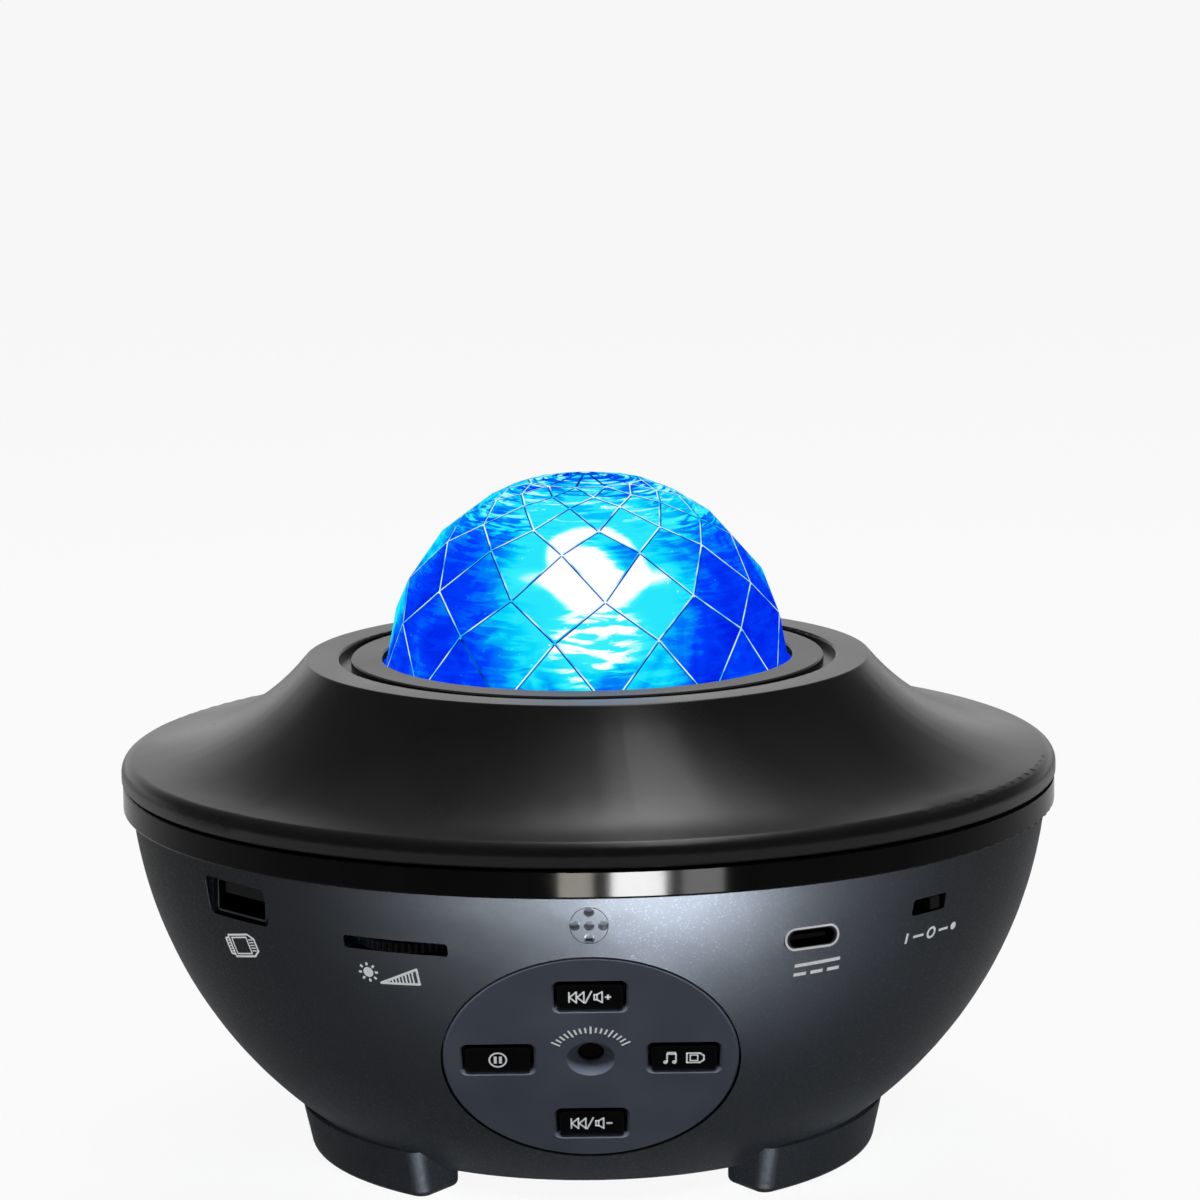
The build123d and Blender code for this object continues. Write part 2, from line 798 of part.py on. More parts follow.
with BuildPart() as lamp_deck:
    with BuildSketch(Plane.XY.offset(deck_under)):
        Circle(deck_radius)
        with Locations(motor_spot):
            Circle(motor_lobe)
        with PolarLocations(deck_radius, 3, start_angle=deck_ear_azimuth - 90):
            ear_end = column_place - deck_radius + deck_ear_width / 2
            SlotOverall(2 * ear_end, deck_ear_width)
        with Locations(*deck_screw_spots):
            Circle(small_screw_radius + screw_hole_gap, mode=Mode.SUBTRACT)
        with Locations(motor_spot):
            Circle(motor_boss_radius + 2 * slip_gap, mode=Mode.SUBTRACT)
    extrude(amount=deck_thickness)
    with BuildSketch(Plane.XZ):
        with BuildLine():
            Polyline(
                (collar_inner, deck_top),
                (thrust_radius, deck_top),
                (thrust_radius, thrust_top),
                (collar_radius, thrust_top),
                (collar_radius, gear_top + gear_float),
                (retainer_inner, gear_top + gear_float),
                (retainer_inner, collar_top),
                (collar_inner, collar_top),
                close=True,
            )
        make_face()
    revolve()
    with BuildSketch(motor_plane):
        with Locations((-motor_ear_reach, 0), (motor_ear_reach, 0)):
            Circle(small_screw_radius)
    extrude(amount=deck_thickness, mode=Mode.SUBTRACT)

with BuildPart() as deck_screws:
    ear_spots = [(x, y, deck_under) for x, y, _ in deck_screw_spots]
    with Locations(*looking_down(ear_spots)):
        add(screw(small_screw_radius, 8 * small_screw_radius, small_screw_head_radius))

with BuildPart() as rotor_retainer:
    with BuildSketch(Plane.XY.offset(gear_top + gear_float)):
        Circle(retainer_radius)
        Circle(retainer_inner, mode=Mode.SUBTRACT)
    extrude(amount=retainer_thickness)

gear_turn = motor_azimuth - 90

with BuildPart() as drive_gear:
    with BuildSketch(Plane.XY.offset(gear_under)):
        add(gear_profile(gear_teeth, gear_turn))
        Circle(collar_radius + shaft_gap, mode=Mode.SUBTRACT)
    extrude(amount=gear_thickness)

# A shallow domed lens whose inside is a wavy water surface
lens_outer_radius = (lens_flange_outer**2 + lens_crown**2) / (2 * lens_crown)
lens_centre = gear_top + lens_crown - lens_outer_radius

with BuildPart() as ripple_lens:
    with BuildSketch(Plane.XY.offset(gear_top)):
        Circle(lens_flange_outer)
    extrude(amount=lens_flange_thickness)
    with BuildSketch(Plane.XZ):
        with BuildLine():
            crown = (0, gear_top + lens_crown)
            flank = lens_flange_outer / 2
            ThreePointArc(
                crown,
                (flank, lens_centre + sqrt(lens_outer_radius**2 - flank**2)),
                (lens_flange_outer, gear_top),
            )
            Polyline((lens_flange_outer, gear_top), (0, gear_top), crown)
        make_face()
    revolve()
    with BuildSketch(Plane.XZ):
        with BuildLine():
            crown = (0, gear_top + lens_crown - lens_wall)
            inner_edge = (lens_flange_inner, gear_top)
            flank = lens_flange_inner / 2
            inner_rise = lens_crown - lens_wall
            inner_radius = (lens_flange_inner**2 + inner_rise**2) / (2 * inner_rise)
            inner_centre = gear_top + inner_rise - inner_radius
            ThreePointArc(crown, (flank, inner_centre + sqrt(inner_radius**2 - flank**2)), inner_edge)
            Polyline(inner_edge, (0, gear_top), crown)
        make_face()
    revolve(mode=Mode.SUBTRACT)

with BuildPart() as gear_motor:
    with BuildSketch(motor_plane):
        Circle(motor_radius)
    extrude(amount=-motor_length)
    fillet(gear_motor.edges().sort_by(Axis.Z)[0], motor_ear_thickness)
    with BuildSketch(motor_plane):
        SlotOverall(2 * motor_ear_reach + motor_ear_width, motor_ear_width)
        with Locations((-motor_ear_reach, 0), (motor_ear_reach, 0)):
            Circle(small_screw_radius + screw_hole_gap, mode=Mode.SUBTRACT)
    extrude(amount=-motor_ear_thickness)
    with BuildSketch(motor_plane):
        Circle(motor_boss_radius)
    extrude(amount=motor_boss_height)
    with BuildSketch(motor_plane.offset(motor_boss_height)):
        Circle(shaft_radius + shaft_gap)
    extrude(amount=-shaft_depth - motor_boss_height, mode=Mode.SUBTRACT)

with BuildPart() as motor_screws:
    ear_spots = [
        motor_plane.from_local_coords(Vector(side * motor_ear_reach, 0, -motor_ear_thickness))
        for side in (-1, 1)
    ]
    with Locations(*looking_down(ear_spots)):
        add(screw(small_screw_radius, motor_ear_thickness + deck_thickness, small_screw_head_radius))

with BuildPart() as motor_shaft:
    with BuildSketch(motor_plane.offset(slip_gap - shaft_depth)):
        Circle(shaft_radius)
    extrude(amount=gear_top - deck_under + shaft_depth - slip_gap)

with BuildPart() as motor_pinion:
    with BuildSketch(Plane(origin=polar(motor_place, motor_azimuth, gear_under))):
        add(gear_profile(pinion_teeth, gear_turn + 180 + 180.0 / pinion_teeth))
        Circle(shaft_radius, mode=Mode.SUBTRACT)
    extrude(amount=gear_thickness)

# ================================================================== lamp and star source
lamp_base = deck_top + sink_thickness
lamp_face = lamp_base + circuit_thickness
laser_spot = polar(laser_place, 90)

with BuildPart() as heat_sink:
    with BuildSketch(Plane.XY.offset(deck_top)):
        Circle(sink_radius)
        with Locations(laser_spot):
            Circle(laser_radius + slip_gap, mode=Mode.SUBTRACT)
    extrude(amount=sink_thickness)

with BuildPart() as led_board:
    with BuildSketch(Plane.XY.offset(lamp_base)):
        Circle(lamp_board_radius)
        with Locations(laser_spot):
            Circle(laser_radius + slip_gap, mode=Mode.SUBTRACT)
    extrude(amount=circuit_thickness)

with BuildPart() as led_chips:
    with BuildSketch(Plane.XY.offset(lamp_face)):
        with GridLocations(2 * chip_place, 2 * chip_place, 2, 2):
            Rectangle(chip_size, chip_size)
    extrude(amount=chip_height)

# The lens over the chips is part of a ball whose centre lies on the axis.
lens_ball_radius = (lens_radius**2 + lens_height**2) / (2 * lens_height)
lens_ball_centre = lamp_face + lens_height - lens_ball_radius

with BuildPart() as led_lens:
    with BuildSketch(Plane.XZ):
        with BuildLine():
            crown = (0, lamp_face + lens_height)
            hollow_top = (0, lamp_face + lens_hollow_height)
            hollow_edge = (lens_hollow_radius, lamp_face)
            flank = lens_radius / 2
            ThreePointArc(
                crown,
                (flank, lens_ball_centre + sqrt(lens_ball_radius**2 - flank**2)),
                (lens_radius, lamp_face),
            )
            Line((lens_radius, lamp_face), hollow_edge)
            Polyline(hollow_edge, (lens_hollow_radius, hollow_top[1]), hollow_top, crown)
        make_face()
    revolve()

with BuildPart() as laser_module:
    with BuildSketch(Plane.XY.offset(deck_top)):
        with Locations(laser_spot):
            Circle(laser_radius)
    extrude(amount=laser_length)
    chamfer(laser_module.edges().sort_by(Axis.Z)[0], slip_gap)
    with BuildSketch(Plane.XY.offset(deck_top + laser_length)):
        with Locations(laser_spot):
            Circle(laser_bore_radius)
    extrude(amount=-laser_bore_depth, mode=Mode.SUBTRACT)

with BuildPart() as laser_grating:
    with BuildSketch(Plane.XY.offset(deck_top + laser_length)):
        with Locations(laser_spot):
            Circle(laser_radius)
    extrude(amount=grating_thickness)

# ================================================================== control panel and keys
key_spots = {
    "button_up": (0, key_upper),
    "button_down": (0, -key_lower),
    "button_left": (-key_side, 0),
    "button_right": (key_side, 0),
}
boss_spots = [(side * panel_boss_side, rise * panel_boss_rise) for side in (-1, 1) for rise in (-1, 1)]
board_face = panel_plane.offset(-key_board_depth)

with BuildPart() as control_panel:
    with BuildSketch(panel_plane):
        Ellipse(panel_half_width - panel_gap, panel_half_height - panel_gap)
    extrude(amount=-panel_thickness)
    front = control_panel.faces().sort_by(Axis(panel_plane.origin, panel_plane.z_dir))[-1]
    chamfer(front.edges(), panel_edge_chamfer)
    with BuildSketch(panel_plane.offset(-panel_thickness)):
        with Locations(*boss_spots):
            Circle(panel_boss_radius)
    extrude(amount=panel_thickness - key_board_depth)
    with BuildSketch(board_face):
        with Locations(*boss_spots):
            Circle(small_screw_radius)
    extrude(amount=key_board_depth - panel_thickness, mode=Mode.SUBTRACT)
    for spot in key_spots.values():
        with BuildSketch(panel_plane):
            with Locations(spot):
                RectangleRounded(key_width + 2 * key_gap, key_height + 2 * key_gap, key_round)
        extrude(amount=-panel_thickness, mode=Mode.SUBTRACT)
        with BuildSketch(panel_plane):
            with Locations(spot):
                mouth = 2 * key_gap + 2 * key_hole_chamfer
                RectangleRounded(key_width + mouth, key_height + mouth, key_round + key_hole_chamfer)
        extrude(amount=-key_hole_chamfer, taper=45, mode=Mode.SUBTRACT)
    with BuildSketch(panel_plane):
        Circle(receiver_hole_radius)
    extrude(amount=-panel_thickness, mode=Mode.SUBTRACT)
    with BuildSketch(panel_plane):
        Circle(receiver_dish_radius)
    with BuildSketch(panel_plane.offset(-receiver_dish_depth)):
        Circle(receiver_hole_radius)
    loft(mode=Mode.SUBTRACT)


def key(spot):
    """Key cap with the flange that keeps it behind the panel and the stem that presses its switch."""
    flange_face = panel_plane.offset(-panel_thickness - key_lift)
    with BuildPart() as cap:
        with BuildSketch(panel_plane):
            with Locations(spot):
                RectangleRounded(key_width, key_height, key_round)
        extrude(amount=-panel_thickness - key_lift)
        outer = cap.faces().sort_by(Axis(panel_plane.origin, panel_plane.z_dir))[-1]
        fillet(outer.edges(), key_hole_chamfer)
        with BuildSketch(flange_face):
            with Locations(spot):
                RectangleRounded(key_width + 2 * key_flange, key_height + 2 * key_flange, key_round)
        extrude(amount=-key_flange_thickness)
        with BuildSketch(flange_face):
            with Locations(spot):
                Circle(key_stem_radius)
        extrude(amount=panel_thickness + key_lift + tact_height - key_board_depth - 2 * key_travel)
    return cap.part


with BuildPart() as button_up:
    add(key(key_spots["button_up"]))

with BuildPart() as button_down:
    add(key(key_spots["button_down"]))

with BuildPart() as button_left:
    add(key(key_spots["button_left"]))

with BuildPart() as button_right:
    add(key(key_spots["button_right"]))

with BuildPart() as button_board:
    with BuildSketch(board_face):
        RectangleRounded(key_board_width, key_board_height, key_board_round)
        with Locations(*boss_spots):
            Circle(small_screw_radius + screw_hole_gap, mode=Mode.SUBTRACT)
    extrude(amount=-circuit_thickness)

with BuildPart() as tact_switches:
    with BuildSketch(board_face):
        with Locations(*key_spots.values()):
            RectangleRounded(tact_size, tact_size, tact_size / 8)
    extrude(amount=tact_height)
    with BuildSketch(board_face.offset(tact_height)):
        with Locations(*key_spots.values()):
            Circle(key_stem_radius + slip_gap)
    extrude(amount=-3.5 * key_travel, mode=Mode.SUBTRACT)

with BuildPart() as ir_receiver:
    with BuildSketch(board_face):
        RectangleRounded(receiver_size, receiver_size, receiver_size / 8)
    extrude(amount=receiver_height)
    with BuildSketch(board_face.offset(receiver_height)):
        Circle(receiver_lens_radius)
    extrude(amount=receiver_lens_radius / 2)
    lens_rim = ir_receiver.edges().sort_by(Axis(board_face.origin, board_face.z_dir))[-1]
    fillet(lens_rim, receiver_lens_radius / 2.2)

with BuildPart() as ir_window:
    with BuildSketch(panel_plane.offset(-panel_thickness)):
        Circle(window_radius)
    extrude(amount=-window_thickness)

with BuildPart() as panel_screws:
    back = board_face.offset(-circuit_thickness)
    spots = [back.from_local_coords(Vector(x, y, 0)) for x, y in boss_spots]
    with Locations(*[Plane(origin=spot, x_dir=(1, 0, 0), z_dir=-back.z_dir) for spot in spots]):
        add(screw(small_screw_radius, key_board_depth - panel_thickness, small_screw_head_radius))

# ================================================================== main board and what is on it
with BuildPart() as main_board:
    with BuildSketch(Plane.XY.offset(board_under)):
        Circle(board_radius)
        with Locations((0, -board_back)):
            Rectangle(3 * board_radius, 2 * board_radius, align=(Align.CENTER, Align.MIN), mode=Mode.SUBTRACT)
        with Locations((0, -board_notch_front)):
            Rectangle(board_notch_width, board_radius, align=(Align.CENTER, Align.MAX), mode=Mode.SUBTRACT)
        with Locations(*column_spots):
            Circle(column_radius + 4 * slip_gap, mode=Mode.SUBTRACT)
        with Locations(*board_post_spots):
            Circle(small_screw_radius + screw_hole_gap, mode=Mode.SUBTRACT)
    extrude(amount=board_thickness)

with BuildPart() as board_screws:
    with Locations(*[(x, y, board_top) for x, y, _ in board_post_spots]):
        add(screw(small_screw_radius, board_thickness + 5 * small_screw_radius, small_screw_head_radius))

with BuildPart() as board_parts:
    with BuildSketch(Plane.XY.offset(board_top)):
        with Locations(polar(capacitor_place, -capacitor_azimuth), polar(capacitor_place, capacitor_azimuth)):
            Circle(capacitor_radius)
    extrude(amount=capacitor_height)
    with BuildSketch(Plane.XY.offset(board_top)):
        with Locations(polar(chip_pack_place, 0), polar(chip_pack_place, chip_pack_azimuth)):
            Rectangle(chip_pack_width, chip_pack_width)
    extrude(amount=chip_pack_height)
    with BuildSketch(Plane.XY.offset(board_top)):
        with Locations(polar(chip_pack_place, -chip_pack_azimuth)):
            RectangleRounded(coil_pack_width, coil_pack_width, coil_pack_width / 6)
    extrude(amount=coil_pack_height)

outlet_mouth = outlet_plane.offset(-outlet_recess)
with BuildPart() as usb_socket:
    with BuildSketch(outlet_mouth):
        RectangleRounded(shell_width, shell_height, outlet_round / 2)
    extrude(amount=-shell_length)
    with BuildSketch(outlet_mouth):
        hollow_width = shell_width - 2 * shell_wall
        hollow_height = shell_height - 2 * shell_wall
        RectangleRounded(hollow_width, hollow_height, outlet_round / 2 - shell_wall)
    extrude(amount=-plug_tongue_length - 2 * shell_wall, mode=Mode.SUBTRACT)
    with BuildSketch(outlet_mouth.offset(-shell_length)):
        with Locations((0, -outlet_rise)):
            base_height = outlet_rise - shell_height / 2
            Rectangle(shell_width, base_height, align=(Align.CENTER, Align.MIN))
    extrude(amount=shell_base_length)

with BuildPart() as usb_tongue:
    with BuildSketch(outlet_mouth.offset(-2 * shell_wall - plug_tongue_length)):
        with Locations((0, hollow_height / 4)):
            Rectangle(plug_tongue_width, plug_tongue_thickness)
    extrude(amount=plug_tongue_length)

with BuildPart() as usb_c_socket:
    with BuildSketch(inlet_plane):
        SlotOverall(inlet_width - slip_gap, inlet_height - slip_gap)
    extrude(amount=-inlet_rim_length)
    with BuildSketch(inlet_plane):
        SlotOverall(inlet_shell_width, inlet_shell_height)
    extrude(amount=-inlet_length)
    with BuildSketch(inlet_plane):
        SlotOverall(inlet_shell_width - 2 * inlet_shell_wall, inlet_shell_height - 2 * inlet_shell_wall)
    extrude(amount=-inlet_cavity_depth, mode=Mode.SUBTRACT)
    with BuildSketch(inlet_plane.offset(-inlet_length)):
        with Locations((0, -inlet_rise)):
            Rectangle(inlet_shell_width, inlet_rise, align=(Align.CENTER, Align.MIN))
        SlotOverall(inlet_shell_width, inlet_shell_height, mode=Mode.SUBTRACT)
    extrude(amount=inlet_base_length)

with BuildPart() as usb_c_tongue:
    with BuildSketch(inlet_plane.offset(-inlet_cavity_depth)):
        Rectangle(inlet_tongue_width, inlet_tongue_thickness)
    extrude(amount=inlet_cavity_depth - inlet_rim_length)

# Dimmer: a knurled wheel that turns on the pin of its potentiometer
wheel_height = board_top + dimmer_rise
wheel_place = bowl_radius(wheel_height) + dimmer_proud - dimmer_radius
wheel_under = wheel_height - dimmer_thickness / 2
wheel_top = wheel_height + dimmer_thickness / 2
wheel_plane = Plane(origin=polar(wheel_place, dimmer_azimuth, wheel_under))

with BuildPart() as dimmer_wheel:
    with BuildSketch(wheel_plane):
        Circle(dimmer_radius)
        Circle(dimmer_pin_radius + shaft_gap, mode=Mode.SUBTRACT)
        with PolarLocations(dimmer_radius, dimmer_knurls):
            Rectangle(dimmer_knurl_depth * sqrt(2), dimmer_knurl_depth * sqrt(2), 45, mode=Mode.SUBTRACT)
    extrude(amount=dimmer_thickness)

with BuildPart() as dimmer_body:
    with BuildSketch(wheel_plane.offset(board_top - wheel_under)):
        Circle(dimmer_body_radius)
    extrude(amount=wheel_under - board_top - 2 * slip_gap)
    with BuildSketch(wheel_plane.offset(board_top - wheel_under)):
        Circle(dimmer_pin_radius)
    extrude(amount=wheel_top - board_top + slip_gap + dimmer_clip_thickness)

with BuildPart() as dimmer_clip:
    with BuildSketch(wheel_plane.offset(dimmer_thickness + slip_gap)):
        Circle(dimmer_clip_radius)
        Circle(dimmer_pin_radius, mode=Mode.SUBTRACT)
    extrude(amount=dimmer_clip_thickness)

# Mode switch: the knob's block slides in the body's channel, and rests at its right end
switch_height = board_top + switch_rise
# The switch's corners stand just clear of the wall at the board's height
switch_wall = min(bowl_radius(board_top, bowl_wall), spigot_inner)
switch_place = sqrt(switch_wall**2 - (switch_body_width / 2) ** 2) - slip_gap
switch_front = bowl_radius(switch_height) - switch_place
block_front = switch_front + switch_front_wall + slip_gap

with BuildPart() as power_switch_body:
    with BuildSketch(switch_plane.offset(-switch_front)):
        with Locations((0, -switch_rise)):
            body_height = switch_rise + switch_body_top
            Rectangle(switch_body_width, body_height, align=(Align.CENTER, Align.MIN))
    extrude(amount=-switch_body_length)
    with BuildSketch(switch_plane.offset(-switch_front)):
        Rectangle(switch_knob_width + 2 * switch_step + 4 * slip_gap, switch_knob_height + 2 * slip_gap)
    extrude(amount=-switch_front_wall, mode=Mode.SUBTRACT)
    with BuildSketch(switch_plane.offset(-switch_front - switch_front_wall)):
        Rectangle(switch_block_width + 2 * switch_step + 2 * slip_gap, switch_block_height + 2 * slip_gap)
    extrude(amount=-switch_block_depth - 2 * slip_gap, mode=Mode.SUBTRACT)

with BuildPart() as power_switch_slider:
    with BuildSketch(switch_plane.offset(-block_front)):
        with Locations((switch_step, 0)):
            Rectangle(switch_block_width, switch_block_height)
    extrude(amount=-switch_block_depth)
    with BuildSketch(switch_plane.offset(-block_front)):
        with Locations((switch_step, 0)):
            Rectangle(switch_knob_width, switch_knob_height)
    extrude(amount=block_front - switch_knob_sunk)

# Microphone behind an insert whose face follows the bowl
mic_wall = bowl_radius(mic_height) - spigot_inner
mic_hole_spots = [(0, 0)]
for side in (-1, 1):
    mic_hole_spots += [(0, side * mic_hole_pitch), (side * mic_hole_pitch, 0)]

with BuildPart() as mic_insert:
    with BuildSketch(mic_plane.offset(-mic_wall)):
        Circle(mic_insert_radius)
    extrude(amount=2 * mic_wall)
    add(bowl_form.part, mode=Mode.INTERSECT)
    with BuildSketch(mic_plane.offset(mic_wall)):
        with Locations(*mic_hole_spots):
            Circle(mic_hole_radius)
    extrude(amount=-2 * mic_wall, mode=Mode.SUBTRACT)

with BuildPart() as microphone:
    with BuildSketch(mic_plane.offset(-mic_wall)):
        Circle(mic_radius)
    extrude(amount=-mic_length)

# ================================================================== loudspeaker, facing down
flange_top = speaker_seat + speaker_flange_thickness
back_plate = flange_top + speaker_depth - speaker_sheet
roll_centre = speaker_bore - roll_radius
cone_edge = roll_centre - roll_radius - slip_gap
coil_inner = coil_radius - coil_wall
cone_low = speaker_seat + slip_gap
cone_high = cone_low + cone_depth
magnet_foot = back_plate + speaker_sheet

with BuildPart() as speaker_grille:
    with BuildSketch(Plane.XY.offset(bowl_floor_height)):
        Circle(grille_radius)
        for ring_radius in grille_ring_radii:
            with PolarLocations(0, 6):
                SlotArc(CenterArc((0, 0), ring_radius, -20, 40), grille_slot_width, mode=Mode.SUBTRACT)
        Circle(grille_slot_width, mode=Mode.SUBTRACT)
    extrude(amount=grille_thickness)

with BuildPart() as speaker_basket:
    with BuildSketch(Plane.XY.offset(speaker_seat)):
        Circle(speaker_radius)
        with Locations(*speaker_ear_spots):
            Circle(speaker_ear_radius)
        Circle(speaker_bore, mode=Mode.SUBTRACT)
        with Locations(*speaker_ear_spots):
            Circle(small_screw_radius + screw_hole_gap, mode=Mode.SUBTRACT)
    extrude(amount=speaker_flange_thickness)
    with BuildSketch(Plane.XZ):
        with BuildLine():
            Polyline(
                (speaker_bore, flange_top),
                (speaker_bore + 2 * speaker_sheet, flange_top),
                (speaker_back_radius, back_plate + speaker_sheet),
                (coil_radius + 2 * coil_gap, back_plate + speaker_sheet),
                (coil_radius + 2 * coil_gap, back_plate),
                (speaker_back_radius - speaker_sheet, back_plate),
                close=True,
            )
        make_face()
    revolve()
    with BuildSketch(Plane.XY.offset(flange_top + speaker_sheet)):
        with PolarLocations((speaker_bore + speaker_back_radius) / 2, 6, start_angle=30):
            RectangleRounded(speaker_window, speaker_window, speaker_window / 4)
    extrude(amount=back_plate - flange_top - 2 * speaker_sheet, mode=Mode.SUBTRACT)

with BuildPart() as speaker_magnet:
    with BuildSketch(Plane.XZ):
        with BuildLine():
            plate_top = magnet_foot + pole_plate
            magnet_top = plate_top + magnet_height
            pole_radius = coil_inner - coil_gap
            Polyline(
                (coil_radius + coil_gap, magnet_foot),
                (magnet_radius - speaker_sheet, magnet_foot),
                (magnet_radius - speaker_sheet, plate_top),
                (magnet_radius, plate_top),
                (magnet_radius, magnet_top),
                (magnet_radius - speaker_sheet, magnet_top),
                (magnet_radius - speaker_sheet, magnet_top + pole_plate),
                (0, magnet_top + pole_plate),
                (0, back_plate),
                (pole_radius, back_plate),
                (pole_radius, magnet_top),
                (coil_radius + 2 * coil_gap, magnet_top),
                (coil_radius + 2 * coil_gap, plate_top),
                (coil_radius + coil_gap, plate_top),
                close=True,
            )
        make_face()
    revolve()

with BuildPart() as speaker_cone:
    with BuildSketch(Plane.XZ):
        with BuildLine():
            # Cone, coil former and dust cap in one section, from the cone's edge to the axis
            cap_rise = coil_inner / 3
            cap_flat = coil_inner / 2
            Polyline(
                (coil_inner, cone_high),
                (cone_edge, cone_low),
                (cone_edge, cone_low + cone_wall),
                (coil_radius, cone_high + cone_wall),
                (coil_radius, magnet_foot + pole_plate),
                (coil_inner, magnet_foot + pole_plate),
                (coil_inner, cone_high + cone_wall),
                (cap_flat, cone_high + cone_wall - cap_rise),
                (0, cone_high + cone_wall - cap_rise),
                (0, cone_high - cap_rise),
                (cap_flat, cone_high - cap_rise),
                close=True,
            )
        make_face()
    revolve()

with BuildPart() as speaker_surround:
    with BuildSketch(Plane.XZ):
        with BuildLine():
            roll_height = speaker_seat + slip_gap
            CenterArc((roll_centre, roll_height), roll_radius, 0, -180)
            CenterArc((roll_centre, roll_height), roll_radius - roll_wall, 0, -180)
            for side in (-1, 1):
                roll_foot = roll_centre + side * roll_radius
                Line((roll_foot - side * roll_wall, roll_height), (roll_foot, roll_height))
        make_face()
    revolve()

with BuildPart() as speaker_screws:
    with Locations(*[(x, y, flange_top) for x, y, _ in speaker_ear_spots]):
        length = flange_top - bowl_floor_height - bowl_wall / 2
        add(screw(small_screw_radius, length, small_screw_head_radius))

# ================================================================== pieces
pieces = {
    "bowl_housing": bowl_housing,
    "foot_pads": foot_pads,
    "case_screws": case_screws,
    "trim_band": trim_band,
    "lid": lid,
    "dome_bezel": dome_bezel,
    "faceted_dome": faceted_dome,
    "lamp_deck": lamp_deck,
    "deck_screws": deck_screws,
    "rotor_retainer": rotor_retainer,
    "drive_gear": drive_gear,
    "ripple_lens": ripple_lens,
    "gear_motor": gear_motor,
    "motor_screws": motor_screws,
    "motor_shaft": motor_shaft,
    "motor_pinion": motor_pinion,
    "heat_sink": heat_sink,
    "led_board": led_board,
    "led_chips": led_chips,
    "led_lens": led_lens,
    "laser_module": laser_module,
    "laser_grating": laser_grating,
    "control_panel": control_panel,
    "button_up": button_up,
    "button_down": button_down,
    "button_left": button_left,
    "button_right": button_right,
    "button_board": button_board,
    "tact_switches": tact_switches,
    "ir_receiver": ir_receiver,
    "ir_window": ir_window,
    "panel_screws": panel_screws,
    "main_board": main_board,
    "board_screws": board_screws,
    "board_parts": board_parts,
    "usb_socket": usb_socket,
    "usb_tongue": usb_tongue,
    "usb_c_socket": usb_c_socket,
    "usb_c_tongue": usb_c_tongue,
    "dimmer_wheel": dimmer_wheel,
    "dimmer_body": dimmer_body,
    "dimmer_clip": dimmer_clip,
    "power_switch_body": power_switch_body,
    "power_switch_slider": power_switch_slider,
    "mic_insert": mic_insert,
    "microphone": microphone,
    "speaker_grille": speaker_grille,
    "speaker_basket": speaker_basket,
    "speaker_magnet": speaker_magnet,
    "speaker_cone": speaker_cone,
    "speaker_surround": speaker_surround,
    "speaker_screws": speaker_screws,
}

os.makedirs("parts", exist_ok=True)
for name, piece in pieces.items():
    piece.part.label = name
    export_step(piece.part, f"parts/{name}.step")
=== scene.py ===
"""Looks of a star night light projector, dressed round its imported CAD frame.

Lengths are metres. The projector stands at Z = 0 with its keys towards -Y and its dome up.
An azimuth is measured from the front (-Y), positive towards +X.
"""

import json
import logging
from collections.abc import Iterable
from dataclasses import dataclass, field
from enum import Enum
from functools import cache, reduce
from math import asin, cos, pi, radians, sin, sqrt

import bmesh
import bpy
from mathutils import Matrix, Vector


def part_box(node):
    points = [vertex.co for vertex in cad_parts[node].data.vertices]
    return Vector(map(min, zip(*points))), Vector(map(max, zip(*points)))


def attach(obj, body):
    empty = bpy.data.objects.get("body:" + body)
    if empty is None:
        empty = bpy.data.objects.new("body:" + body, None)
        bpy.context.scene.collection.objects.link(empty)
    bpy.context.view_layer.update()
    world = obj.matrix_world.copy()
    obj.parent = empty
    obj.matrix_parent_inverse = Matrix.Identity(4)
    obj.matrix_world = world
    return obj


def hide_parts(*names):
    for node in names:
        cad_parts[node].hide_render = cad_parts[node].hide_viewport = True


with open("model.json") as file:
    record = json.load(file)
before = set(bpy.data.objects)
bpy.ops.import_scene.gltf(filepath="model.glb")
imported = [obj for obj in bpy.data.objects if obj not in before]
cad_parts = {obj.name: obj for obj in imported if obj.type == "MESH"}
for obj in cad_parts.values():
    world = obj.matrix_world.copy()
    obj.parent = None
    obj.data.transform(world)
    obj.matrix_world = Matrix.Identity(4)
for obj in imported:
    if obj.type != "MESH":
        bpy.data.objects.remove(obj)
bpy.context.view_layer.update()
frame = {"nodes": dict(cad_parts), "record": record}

MM = 0.001
SENSOR = 36.0  # mm, Blender's own
SHELL = "_shell"  # ends the name of a piece that shows a CAD node
TOUCHING = 0.001 * MM  # corners nearer than this are one
FLATNESS = 0.02 * MM  # corners within this depth are on one face
log = logging.getLogger("projector")

Colour = tuple[float, float, float, float]
Point = tuple[float, float]
Triple = tuple[float, float, float]
EVEN: Triple = (1.0, 1.0, 1.0)
WHITE: Colour = (1.0, 1.0, 1.0, 1.0)
UP = Vector((0, 0, 1))


def srgb(red: int, green: int, blue: int) -> Colour:
    """Turns a colour written in screen bytes into Blender's linear colour.

    Args:
        red: the red byte.
        green: the green byte.
        blue: the blue byte.

    Returns:
        The colour, with an alpha of 1.
    """
    shares = [channel / 255 for channel in (red, green, blue)]
    lines = [s / 12.92 if s <= 0.04045 else ((s + 0.055) / 1.055) ** 2.4 for s in shares]
    return (*lines, 1.0)


def toned(colour: Colour, gain: float) -> Colour:
    """A colour made darker or lighter by a factor, no lighter than white."""
    return (*[min(1.0, gain * channel) for channel in colour[:3]], 1.0)


def polar(radius: float, azimuth: float, height: float = 0.0) -> Vector:
    """Point at a radius, an azimuth in degrees and a height."""
    turn = radians(azimuth)
    return Vector((radius * sin(turn), -radius * cos(turn), height))


